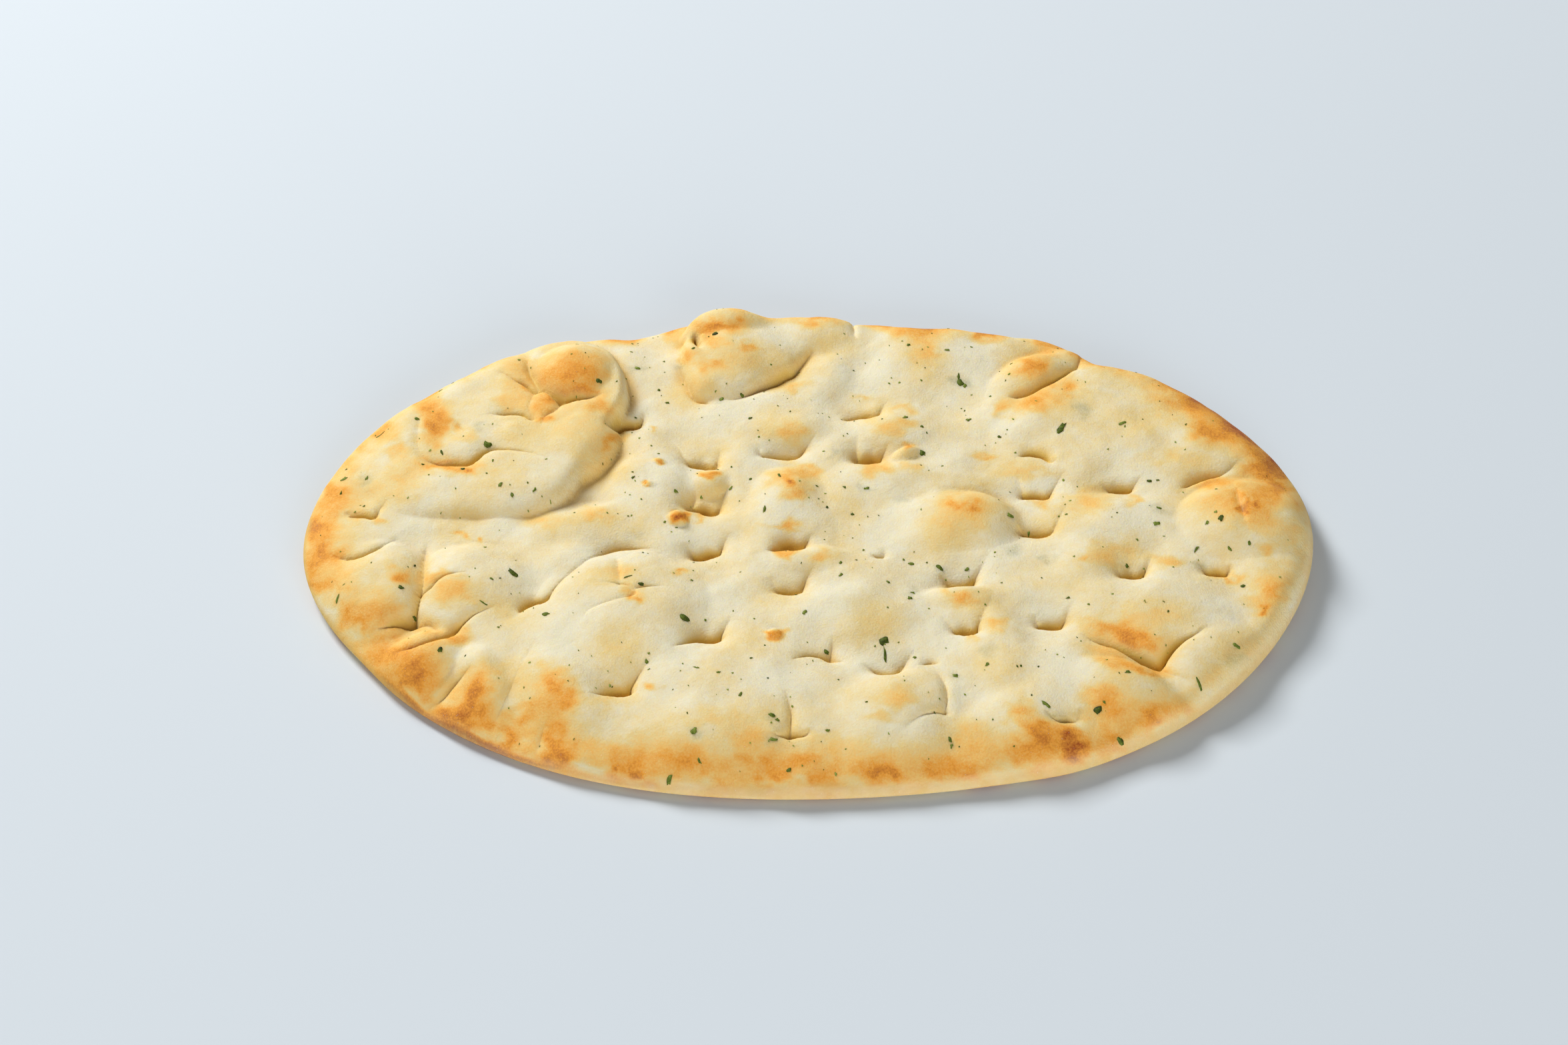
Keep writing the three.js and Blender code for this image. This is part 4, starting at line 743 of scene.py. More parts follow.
# Flakes of coriander on the sight level: place, half sizes, turn and tone from dark to fresh
FLAKES = Flake.each(
    (17.3, -44, 3.4, 0.4, 91, 0.35), (17.4, -38.8, 1.7, 1.2, 70, 0.25), (62, 37, 2.4, 0.8, 66, 0.3),
    (77, 39, 1, 0.45, 30, 0.6), (77.6, 38.2, 0.5, 0.35, 80, 0.6), (38, 55, 1.15, 0.9, 10, 0.4),
    (37.6, 57.6, 1, 0.5, 100, 0.35), (39, 53.6, 0.65, 0.55, 60, 0.6), (27.8, 27.5, 1, 0.75, 60, 0.4),
    (28, 38, 0.65, 0.45, 80, 0.4), (39.5, 40.5, 0.7, 0.55, 20, 0.5), (24, 41.5, 1.1, 0.45, 40, 0.7),
    (-69, -15.5, 1.4, 0.8, -32, 0.25), (-28.5, -31.5, 1.05, 0.8, -10, 0.3),
    (-42, -17, 1.2, 0.25, 25, 0.35), (-39, -19.6, 0.8, 0.4, 0, 0.2), (4, -43, 0.8, 0.6, -20, 0.35),
    (-78, 31, 1.2, 0.8, -10, 0.4), (-88.6, 28, 1, 0.55, -50, 0.4), (-83, 22, 0.6, 0.55, 0, 0.2),
    (-51.5, 55.3, 0.9, 0.55, 30, 0.25), (-104, 34.5, 1.45, 0.25, 38, 0.55),
    (-111.5, 18, 1, 0.55, 40, 0.65), (-105.8, 18.6, 0.8, 0.45, 75, 0.6), (-90.5, 51.8, 0.6, 0.4, 50, 0.5),
    (-95.6, 41, 0.6, 0.45, -20, 0.5), (98, 3.5, 0.85, 0.65, 70, 0.2), (82.5, 1.5, 0.85, 0.65, 10, 0.65),
    (94.5, 2.2, 0.8, 0.4, 70, 0.6), (83.5, 7.4, 0.7, 0.55, 0, 0.6), (82, 17.2, 0.65, 0.4, 0, 0.2),
    (84, 17.6, 0.5, 0.25, 0, 0.4), (64.5, -62, 1.25, 0.75, 20, 0.15), (68.8, -71.6, 0.85, 0.6, 10, 0.4),
    (88, -53.4, 1.3, 0.35, -65, 0.45), (91.2, -7.6, 1.1, 0.35, 60, 0.35),
    (74.5, -13.6, 0.65, 0.4, -70, 0.35), (99, -7.4, 0.65, 0.35, -60, 0.5),
    (-60.5, -30, 0.85, 0.65, -15, 0.45), (-84, -42, 0.65, 0.6, 20, 0.2),
    (-94.5, -21, 0.7, 0.55, -15, 0.2), (-92, -13.2, 0.65, 0.25, 80, 0.2),
    (-75, -26.5, 1.05, 0.25, -25, 0.45), (-37, -46, 0.7, 0.4, -70, 0.6),
    (-25.5, -48, 0.8, 0.35, -20, 0.55), (-20.5, -49.6, 0.45, 0.25, 0, 0.5),
    (-15.5, -57, 0.8, 0.4, 70, 0.45), (-8.5, -63.4, 0.8, 0.55, -35, 0.5), (-7.2, -65, 0.5, 0.4, 40, 0.4),
    (-25.6, -68.5, 1, 0.6, 30, 0.6), (-8, -71.4, 1.3, 0.45, 8, 0.6), (-31, -84, 1, 0.65, 60, 0.5),
    (-24.4, -78, 0.85, 0.25, -55, 0.5), (-4.6, -81, 0.7, 0.55, -20, 0.35), (4, -68.4, 0.65, 0.4, 0, 0.55),
    (31.2, -71.4, 0.9, 0.45, -70, 0.45), (31.4, -73.6, 0.5, 0.35, 60, 0.5),
    (33, -50.6, 0.85, 0.55, -20, 0.55), (24, -44.6, 0.6, 0.4, -40, 0.65), (40.4, -47, 0.6, 0.4, 60, 0.6),
    (23.4, -24.6, 0.7, 0.55, -30, 0.4), (24.2, -22.6, 0.6, 0.4, 20, 0.5),
    (24, -12.8, 0.8, 0.55, -10, 0.55), (22.3, -11.2, 0.5, 0.35, 40, 0.55), (18.6, -19, 0.6, 0.35, 0, 0.5),
    (7.5, -12.2, 0.45, 0.35, 30, 0.6), (7.5, -16.6, 0.5, 0.4, 50, 0.6), (-1, -29.4, 0.7, 0.6, 60, 0.6),
    (-10.4, 7, 1.25, 0.35, 82, 0.5), (4.6, 7.6, 0.5, 0.45, 10, 0.15), (10.6, 5.2, 0.45, 0.4, 0, 0.3),
    (14, 14.6, 0.8, 0.45, 0, 0.5), (8.8, 15, 0.6, 0.35, -50, 0.5), (-13.8, 18, 0.5, 0.4, 50, 0.55),
    (-18.4, 14.6, 0.7, 0.35, 55, 0.7), (-31.6, 13.6, 0.65, 0.55, -20, 0.65),
    (-42, 18.6, 0.65, 0.35, 50, 0.25), (-6.8, 19.4, 1.05, 0.35, -75, 0.35),
    (-23, 74.6, 0.9, 0.75, 0, 0.15), (-28.4, 68.6, 0.6, 0.35, 20, 0.5), (-36.6, 52, 0.6, 0.45, 0, 0.35),
    (-42, 60.6, 0.9, 0.6, 30, 0.75), (-34.4, 47, 0.6, 0.35, -20, 0.4), (-21, 48.4, 0.6, 0.4, 20, 0.65),
    (-16, 50, 0.5, 0.4, 0, 0.5), (-14, 41, 0.6, 0.4, 10, 0.3), (35, 68, 0.65, 0.55, 10, 0.65),
    (25.6, 70, 0.6, 0.6, 0, 0.4), (46.6, 34, 0.6, 0.35, -30, 0.35), (48, 4.6, 0.9, 0.65, 10, 0.6),
    (52, -2.4, 0.7, 0.4, 60, 0.55), (30.6, -14, 1, 0.65, -50, 0.4), (37, -14.6, 0.6, 0.45, 50, 0.55),
    (72, -49.4, 0.8, 0.35, 10, 0.45), (101, -20.4, 0.65, 0.55, -30, 0.35),
    (97.4, -40.6, 0.9, 0.65, -20, 0.65), (60, -24.6, 0.65, 0.25, 5, 0.5), (53, -60, 1.1, 0.55, -40, 0.6),
    (-90.6, -31.6, 0.5, 0.35, 0, 0.4), (-109, -25, 0.8, 0.35, 65, 0.6), (-111.6, 13, 0.6, 0.25, 80, 0.4),
    (-73.6, 16, 0.7, 0.4, 70, 0.55), (-70.6, 12, 0.65, 0.35, -60, 0.5), (-65.4, 14, 0.65, 0.4, 60, 0.6),
    (-76, 25, 0.5, 0.25, 70, 0.6),
)


@dataclass(frozen=True)
class Sight:
    """The point that the bread is seen from, and the level that marks are placed on."""

    aim: Triple = (-5.7, 4.5, 10.0)
    elevation: float = 41.0
    distance: float = 880.0
    lens: float = 85.0
    sensor: float = 36.0
    level: float = 12.0

    @property
    def back(self) -> Vector:
        """Direction from the aim to the eye."""
        rise = math.radians(self.elevation)
        return Vector((0, -math.cos(rise), math.sin(rise)))

    @property
    def eye(self) -> Vector:
        """Place of the eye."""
        return Vector(self.aim) + self.back * self.distance

    def on_level(self, points: Array) -> tuple[Array, Array]:
        """Slide points along their lines of sight to the sight level.

        Args:
            points: Points of the bread, one row each.

        Returns:
            Their places along and across the sight level.
        """
        eye = np.array(self.eye)
        share = (eye[2] - self.level) / (eye[2] - points[:, 2])
        return eye[0] + (points[:, 0] - eye[0]) * share, eye[1] + (points[:, 1] - eye[1]) * share

    def below(self, x: Array, y: Array, heights: Array) -> tuple[Array, Array]:
        """Follow lines of sight down through the sight level.

        Args:
            x: Where they cross the sight level, along it.
            y: Where they cross the sight level, across it.
            heights: Heights to give their places at.

        Returns:
            Places along and across the bread, one row a line and one column a height.
        """
        eye = self.eye
        share = (eye.z - heights) / (eye.z - self.level)
        return eye.x + np.outer(x - eye.x, share), eye.y + np.outer(y - eye.y, share)


class Maths(Enum):
    """What a Math node works out."""

    ADD = "ADD"
    SUBTRACT = "SUBTRACT"
    MULTIPLY = "MULTIPLY"
    MINIMUM = "MINIMUM"
    MAXIMUM = "MAXIMUM"


class Shade:
    """A shader socket that Python's operators work on."""

    def __init__(self, tree: "NodeTree", socket: bpy.types.NodeSocket) -> None:
        """Hold the socket and the tree it belongs to."""
        self.tree = tree
        self.socket = socket

    def _maths(self, operation: Maths, first: "Shade | float", second: "Shade | float") -> "Shade":
        """Add a Math node for an operation on two values."""
        return self.tree.add("ShaderNodeMath", {"operation": operation.value}, {0: first, 1: second})

    def __add__(self, other: "Shade | float") -> "Shade":
        """Add a value."""
        return self._maths(Maths.ADD, self, other)

    def __radd__(self, other: float) -> "Shade":
        """Add to a number."""
        return self._maths(Maths.ADD, other, self)

    def __sub__(self, other: "Shade | float") -> "Shade":
        """Take a value away."""
        return self._maths(Maths.SUBTRACT, self, other)

    def __rsub__(self, other: float) -> "Shade":
        """Take away from a number."""
        return self._maths(Maths.SUBTRACT, other, self)

    def __mul__(self, other: "Shade | float") -> "Shade":
        """Multiply by a value."""
        return self._maths(Maths.MULTIPLY, self, other)

    def __rmul__(self, other: float) -> "Shade":
        """Multiply a number."""
        return self._maths(Maths.MULTIPLY, other, self)

    def clamped(self) -> "Shade":
        """Hold the value between 0 and 1."""
        return self._maths(Maths.MINIMUM, self._maths(Maths.MAXIMUM, self, 0.0), 1.0)

    def between(self, start: float, end: float) -> "Shade":
        """Rise smoothly from 0 at start to 1 at end."""
        values = {"Value": self, "From Min": start, "From Max": end}
        return self.tree.add("ShaderNodeMapRange", {"interpolation_type": "SMOOTHSTEP"}, values)


class NodeTree:
    """A material's nodes, built by name."""

    def __init__(self, name: str) -> None:
        """Make the material with one principled shader.

        Args:
            name: Name of the material.
        """
        self.material = bpy.data.materials.new(name)
        self.material.use_nodes = True
        self.shader = self.material.node_tree.nodes["Principled BSDF"]

    def add(
        self,
        kind: str,
        settings: dict[str, object] | None = None,
        inputs: "dict[int | str, Shade | float | Colour] | None" = None,
        output: int | str = 0,
    ) -> Shade:
        """Add one node.

        Args:
            kind: Type of the node.
            settings: Its settings, or a ramp's stops under the name stops.
            inputs: Values or links of its sockets.
            output: The socket to give back.

        Returns:
            The chosen output.
        """
        node = self.material.node_tree.nodes.new(kind)
        for name, value in (settings or {}).items():
            if name == "stops":
                self._set_stops(node.color_ramp, value)
            else:
                setattr(node, name, value)
        for name, value in (inputs or {}).items():
            self._feed(node.inputs[name], value)
        return Shade(self, node.outputs[output])

    def _set_stops(self, colour_ramp: bpy.types.ColorRamp, stops: list[tuple[float, Colour]]) -> None:
        """Set a ramp's colours at their places.

        Args:
            colour_ramp: The ramp.
            stops: Its places with their colours.
        """
        given = len(colour_ramp.elements)
        for i, (place, colour) in enumerate(stops):
            stop = colour_ramp.elements[i] if i < given else colour_ramp.elements.new(place)
            stop.position = place
            stop.color = (*colour, 1.0)

    def _feed(self, socket: bpy.types.NodeSocket, value: "Shade | float | Colour") -> None:
        """Link a socket or set its value.

        Args:
            socket: The socket.
            value: What to link or set.
        """
        if isinstance(value, Shade):
            self.material.node_tree.links.new(value.socket, socket)
        elif isinstance(value, tuple) and len(socket.default_value) == 4:
            socket.default_value = (*value, 1.0)
        else:
            socket.default_value = value

    def attribute(self, name: str) -> Shade:
        """Read a value that the mesh holds at each of its points."""
        return self.add("ShaderNodeAttribute", {"attribute_name": name}, output="Fac")

    def place(self) -> Shade:
        """Read the place on the object, in metres."""
        return self.add("ShaderNodeTexCoord", output="Object")

    def noise(self, place: Shade, size: float, detail: float = 2.0) -> Shade:
        """Make cloudy noise whose lumps have a size in millimetres."""
        values = {"Vector": place, "Scale": 1 / (size * MILLIMETRE), "Detail": detail}
        return self.add("ShaderNodeTexNoise", {}, values)

    def mixed(self, share: "Shade | float", first: "Shade | Colour", second: "Shade | Colour") -> Shade:
        """Mix two colours by a share."""
        values = {"Factor": share, MIX_FIRST: first, MIX_SECOND: second}
        return self.add("ShaderNodeMix", {"data_type": "RGBA"}, values, MIX_RESULT)

    def set(self, name: str, value: "Shade | float | Colour") -> None:
        """Set or link one of the shader's own sockets."""
        self._feed(self.shader.inputs[name], value)


@dataclass(frozen=True)
class CrustFinish:
    """Baked dough from pale cream to scorched brown, dry and floury."""

    cream: Colour = linear(233, 227, 199)
    straw: Colour = linear(233, 210, 148)
    golden: Colour = linear(239, 195, 112)
    toasted: Colour = linear(236, 164, 60)
    scorched: Colour = linear(168, 82, 22)
    # Flour: dust specks all over, and the rim's lowest band, where it also paints bounced light
    flour: Colour = linear(246, 238, 212)
    # Painted warm shade in dips of the crust
    dip_shade_colour: Colour = linear(222, 182, 100)
    # Painted shade in holes and folds, from pale to deep towards their bottoms
    crease_shade_pale: Colour = linear(232, 208, 146)
    crease_shade_mid: Colour = linear(224, 192, 104)
    crease_shade_deep: Colour = linear(202, 158, 66)
    herb_tint: Colour = linear(128, 140, 112)
    browning_stops: tuple[float, ...] = (0.0, 0.22, 0.43, 0.66, 1.0)
    crease_shade_stops: Triple = (0.15, 0.35, 0.62)
    crease_shade_band: Pair = (0.06, 0.38)
    crease_shade_strength: float = 0.9
    dip_shade_strength: float = 0.75
    stain_strength: float = 0.6
    mottle_size: float = 3.2
    mottle_depths: Pair = (0.22, 0.24)
    fleck_size: float = 0.5
    fleck_depths: Pair = (0.14, 0.40)
    dust_band: Pair = (0.70, 0.80)
    dust_strength: float = 0.35
    # Flour on the rim's lowest band, with painted bounced light on its shaded front and right
    flour_and_bounce_strength: float = 0.5
    roughness: float = 0.85
    browned_gloss: float = 0.12
    specular: float = 0.3
    grain_size: float = 0.45
    grain_share: float = 0.6
    grain_depth: float = 0.25
    pore_size: float = 1.6
    pore_share: float = 0.7
    scatter: float = 0.5
    scatter_tint: Colour = (1.0, 0.85, 0.35)
    scatter_reach: float = 1.8

    def _toned(self, tree: NodeTree, brown: Shade, mottle: Shade, fleck: Shade) -> Shade:
        """Break the browning up into mottles and flecks, deeper where the crust is browner.

        Args:
            tree: The material's nodes.
            brown: Browning of the crust.
            mottle: Coarse noise about zero.
            fleck: Fine noise about zero.

        Returns:
            The baked colour.
        """
        (mottle_plain, mottle_brown), (fleck_plain, fleck_brown) = self.mottle_depths, self.fleck_depths
        mottled = mottle * (mottle_plain + brown * mottle_brown)
        toned = brown + mottled + fleck * (fleck_plain + brown * fleck_brown)
        colours = (self.cream, self.straw, self.golden, self.toasted, self.scorched)
        stops = list(zip(self.browning_stops, colours))
        return tree.add("ShaderNodeValToRGB", {"stops": stops}, {"Fac": toned.clamped()})

    def _with_painted_shade(self, tree: NodeTree, baked: Shade) -> Shade:
        """Paint warm shade into dips, and darker shade into holes and folds.

        Args:
            tree: The material's nodes.
            baked: Colour of the crust.

        Returns:
            The colour with its painted shade.
        """
        # Painted warm shade in dips of the crust
        shaded = tree.mixed(tree.attribute("dip_shade") * self.dip_shade_strength, baked, self.dip_shade_colour)
        # Painted shade in holes and folds, from pale to deep towards their bottoms
        hollow = tree.attribute("hollow")
        stops = list(zip(self.crease_shade_stops, (self.crease_shade_pale, self.crease_shade_mid, self.crease_shade_deep)))
        crease_shade_colour = tree.add("ShaderNodeValToRGB", {"stops": stops}, {"Fac": hollow})
        return tree.mixed(hollow.between(*self.crease_shade_band) * self.crease_shade_strength, shaded, crease_shade_colour)

    def material(self) -> bpy.types.Material:
        """Build the crust's material.

        Returns:
            The material, which reads the browning, hollow, dip_shade, flour and stain values of the mesh.
            The hollow and dip_shade values paint shade, and the flour value paints flour with bounced light.
        """
        tree = NodeTree("baked_crust")
        place = tree.place()
        brown = tree.attribute("browning")
        mottle = tree.noise(place, self.mottle_size, FINE_DETAIL) - NOISE_MIDDLE
        fleck = tree.noise(place, self.fleck_size) - NOISE_MIDDLE
        warmed = self._with_painted_shade(tree, self._toned(tree, brown, mottle, fleck))
        stain = tree.attribute("stain") * (fleck + self.stain_strength).clamped()
        stained = tree.mixed(stain, warmed, self.herb_tint)
        specks = tree.noise(place, self.fleck_size, detail=1.0).between(*self.dust_band) * self.dust_strength
        # Flour dust, and the rim's lowest band of flour with painted bounced light
        dust = specks + tree.attribute("flour") * (self.flour_and_bounce_strength + mottle)
        tree.set("Base Color", tree.mixed(dust.clamped(), stained, self.flour))
        grain = tree.noise(place, self.grain_size, FINE_DETAIL) * self.grain_share
        height = grain + tree.noise(place, self.pore_size) * self.pore_share
        bump = {"Height": height, "Distance": self.grain_depth * MILLIMETRE, "Strength": 1.0}
        tree.set("Normal", tree.add("ShaderNodeBump", {}, bump))
        tree.set("Roughness", self.roughness - brown * self.browned_gloss)
        tree.set("Specular IOR Level", self.specular)
        tree.set("Subsurface Weight", self.scatter)
        tree.set("Subsurface Radius", self.scatter_tint)
        tree.set("Subsurface Scale", self.scatter_reach * MILLIMETRE)
        return tree.material


@dataclass(frozen=True)
class HerbFinish:
    """Dried coriander leaf, from near black through green to pale grey green."""

    dark: Colour = linear(46, 54, 22)
    leaf: Colour = linear(94, 110, 36)
    fresh: Colour = linear(150, 164, 74)
    tone_stops: Triple = (0.0, 0.45, 1.0)
    vein_size: float = 0.7
    vein_depth: float = 1.1
    roughness: float = 0.65
    specular: float = 0.12

    def material(self) -> bpy.types.Material:
        """Build the herb's material.

        Returns:
            The material, which reads each flake's tone.
        """
        tree = NodeTree("coriander_leaf")
        veins = tree.noise(tree.place(), self.vein_size) - NOISE_MIDDLE
        toned = (tree.attribute("tone") + veins * self.vein_depth).clamped()
        stops = list(zip(self.tone_stops, (self.dark, self.leaf, self.fresh)))
        tree.set("Base Color", tree.add("ShaderNodeValToRGB", {"stops": stops}, {"Fac": toned}))
        tree.set("Roughness", self.roughness)
        tree.set("Specular IOR Level", self.specular)
        return tree.material


@dataclass(frozen=True)
class FloorFinish:
    """A smooth pale floor without gloss."""

    colour: Colour = linear(214, 224, 233)
    roughness: float = 0.8
    specular: float = 0.2

    def material(self) -> bpy.types.Material:
        """Build the floor's material.

        Returns:
            The material.
        """
        tree = NodeTree("pale_floor")
        tree.set("Base Color", self.colour)
        tree.set("Roughness", self.roughness)
        tree.set("Specular IOR Level", self.specular)
        return tree.material


def mesh_piece(
    name: str, points: Array, triangles: Array, values: dict[str, Array], material: bpy.types.Material,
) -> bpy.types.Object:
    """Make a piece of the object from points on the survey.

    Args:
        name: The piece's name.
        points: Its points, one row each.
        triangles: Its triangles, one row each.
        values: What the mesh holds at each point, by name.
        material: Its finish.

    Returns:
        The piece, riding on the part.
    """
    placed = (points - np.array([*SURVEY_MIDDLE, 0.0])) * MILLIMETRE
    mesh = bpy.data.meshes.new(name)
    mesh.vertices.add(len(points))
    mesh.vertices.foreach_set("co", placed.astype(np.float32).ravel())
    mesh.loops.add(triangles.size)
    mesh.loops.foreach_set("vertex_index", triangles.astype(np.int32).ravel())
    mesh.polygons.add(len(triangles))
    mesh.polygons.foreach_set("loop_start", np.arange(0, triangles.size, 3, dtype=np.int32))
    for key, value in values.items():
        mesh.attributes.new(key, "FLOAT", "POINT").data.foreach_set("value", value.astype(np.float32))
    mesh.materials.append(material)
    mesh.update(calc_edges=True)
    mesh.validate()
    mesh.shade_smooth()
    piece = bpy.data.objects.new(name, mesh)
    bpy.context.scene.collection.objects.link(piece)
    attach(piece, BODY)
    return piece


def aim(thing: bpy.types.Object, way: Vector) -> None:
    """Put a light or camera into the scene, facing a way.

    Args:
        thing: The light or camera.
        way: The direction to face.
    """
    thing.rotation_mode = "QUATERNION"
    thing.rotation_quaternion = way.to_track_quat("-Z", "Y")
    bpy.context.scene.collection.objects.link(thing)


def by_bearing(table: "Array | tuple[Pair, ...]", t: Array) -> Array:
    """Read a table of values by bearing in degrees at angles."""
    bearings, values = np.array(table, float).T
    return np.interp(np.degrees(t) % FULL_TURN, bearings, values)


def steepness_of(points: Array, triangles: Array) -> Array:
    """Find how steep a mesh is at each of its points.

    Args:
        points: Its points, one row each.
        triangles: Its triangles, one row each.

    Returns:
        Values from 0 on the level to 1 on an upright wall.
    """
    a, b, c = (points[triangles[:, i]] for i in range(3))
    faces = np.cross(b - a, c - a)
    normals = np.zeros_like(points)
    for i in range(3):
        np.add.at(normals, triangles[:, i], faces)
    return 1 - np.abs(normals[:, 2]) / np.linalg.norm(normals, axis=1)


@dataclass(frozen=True)
class Baking:
    """How the oven browned the crust, where flour and herb show on it, and where light and shade are
    painted.

    Bands are shares of the way from the middle to the rim, heights or steepness between which a tone
    comes in.
    """

    sight: Sight
    rim_band: Pair = (0.86, 0.985)
    rim_limit: float = 0.66
    rim_patches: tuple[Lumps, ...] = (Lumps(0.4, 13, 0.6), Lumps(0.2, 6, 2.1))
    singe_band: Pair = (0.985, 0.997)
    flour_and_bounce_band: Pair = (0.98, 0.993)
    raised_band: Pair = (12.5, 17.0)
    raised_tone: float = 0.06
    # Warmer steep flanks: painted shade, and crust bare of flour
    bare_and_shade_band: Pair = (0.03, 0.3)
    bare_and_shade_tone: float = 0.1
    floury_band: Pair = (0.97, 0.99)
    floury_share: float = 0.6
    plain_tone: float = 0.08
    plain_clouds: Lumps = Lumps(0.05, 22, 3.3)
    under_tone: float = 0.55
    under_clouds: Lumps = Lumps(0.12, 15, 1.9, 9)
    waver_along: tuple[Lumps, ...] = (Lumps(0.7, 7, 1.1), Lumps(0.3, 3, 2.7))
    waver_across: tuple[Lumps, ...] = (Lumps(0.7, 7, 4.2), Lumps(0.3, 3, 5.1))

    def browning(self, points: Array, t: Array, share: Array, top: Array, steepness: Array) -> Array:
        """Work out how brown the oven left each point, with painted warm shade on steep flanks.

        Args:
            points: Points of the bread, one row each.
            t: Their angles.
            share: Their shares of the way from the middle to the rim.
            top: Whether each is on the top crust.
            steepness: How steep the crust is at each, from 0 on the level. Steep flanks are warmer, as
                painted shade and because no flour stays on them.

        Returns:
            Browning from 0, pale, to 1, scorched.
        """
        x, y = points[:, 0], points[:, 1]
        rolled = by_bearing(RIM_BROWNING, t) * ramp(share, *self.rim_band)
        patchy = 1 + lumpy(self.rim_patches, *self._wavered(points))
        edge = np.clip(rolled * patchy, 0, np.maximum(rolled, self.rim_limit))
        raised = self.raised_tone * ramp(points[:, 2], *self.raised_band)
        cloud = np.clip(self.plain_tone + self.plain_clouds.at(x, y), 0, 1)
        floury = self.floury_share * ramp(share, *self.floury_band)
        # Steep flanks warmer: painted shade, and bare of flour
        bare_and_shaded = self.bare_and_shade_tone * ramp(steepness, *self.bare_and_shade_band) * (1 - floury)
        upper = 1 - self._left(SCORCHES, points) * (1 - edge) * (1 - raised) * (1 - cloud) * (1 - bare_and_shaded)
        lower = self.under_tone + self.under_clouds.at(x, y)
        singe = by_bearing(RIM_SINGE, t) * ramp(share, *self.singe_band)
        return np.clip(np.maximum(np.where(top, upper, lower), singe), 0, 1)

    def stain(self, points: Array, top: Array) -> Array:
        """Work out how much herb shows through the flour at each point."""
        return np.where(top, 1 - self._left(STAINS, points), 0)

    def flour(self, t: Array, share: Array) -> Array:
        """Work out how much flour clings to the lowest band of the rim, which also paints bounced light on
        its shaded front and right.
        """
        return by_bearing(RIM_FLOUR_AND_BOUNCE, t) * ramp(share, *self.flour_and_bounce_band)

    def _left(self, patches: tuple[Scorch, ...], points: Array) -> Array:
        """Find how much of the plain crust patches leave at points.

        Args:
            patches: The patches.
            points: Points of the bread, one row each.

        Returns:
            Values from 0, covered, to 1, plain.
        """
        x, y = self._wavered(points)
        left = np.ones_like(x)
        for patch in patches:
            left *= 1 - patch.browning(x, y)
        return left

    def _wavered(self, points: Array) -> tuple[Array, Array]:
        """Give points' places on the sight level, wavered so that patches get uneven edges."""
        x, y = self.sight.on_level(points)
        return x + lumpy(self.waver_along, x, y), y + lumpy(self.waver_across, x, y)


class Facing(Enum):
    """Which way the faces between rings look."""

    UP = "up"
    DOWN = "down"


class RingMesh:
    """Rings of points round a middle, stitched into triangles from the edge inward."""

    def __init__(self) -> None:
        """Start with no rings."""
        self.count = 0
        self._rings: list[Ring] = []
        self._last: Ring | None = None
        self._facing = Facing.UP
        self._triangles: list[tuple[int, int, int]] = []

    def add(self, points: int, share: float) -> None:
        """Add a ring and stitch it to the one before.

        Args:
            points: Number of points on it, or 1 for the middle.
            share: Its share of the way from the middle to the rim.
        """
        ring = (self.count, points, share)
        if self._last is not None:
            self._stitch(self._last, ring)
        self._rings.append(ring)
        self._last = ring
        self.count += points

    def return_to_edge(self) -> None:
        """Go on from the first ring again, with faces turned down."""
        self._last = self._rings[0]
        self._facing = Facing.DOWN

    def _stitch(self, outer: Ring, inner: Ring) -> None:
        """Join two rings with a strip of triangles, whatever their counts.

        Args:
            outer: The ring nearer to the edge.
            inner: The ring nearer to the middle.
        """
        (start_a, count_a, _), (start_b, count_b, _) = outer, inner
        i, j = 0, 0
        while i < count_a or (j < count_b and count_b > 1):
            a, b = start_a + i % count_a, start_b + j % count_b
            outer_behind = i < count_a and (i + 1) * count_b <= (j + 1) * count_a
            if count_b == 1 or j >= count_b or outer_behind:
                i += 1
                third = start_a + i % count_a
            else:
                j += 1
                third = start_b + j % count_b
            self._triangles.append((a, third, b) if self._facing is Facing.UP else (third, a, b))

    def angles(self) -> Array:
        """Give every point's angle."""
        return np.concatenate([np.arange(count) * math.tau / count for _, count, _ in self._rings])

    def shares(self) -> Array:
        """Give every point's share of the way from the middle to the rim."""
        return np.concatenate([np.full(count, share) for _, count, share in self._rings])

    def triangles(self) -> Array:
        """Give the triangles, one row each."""
        return np.array(self._triangles)


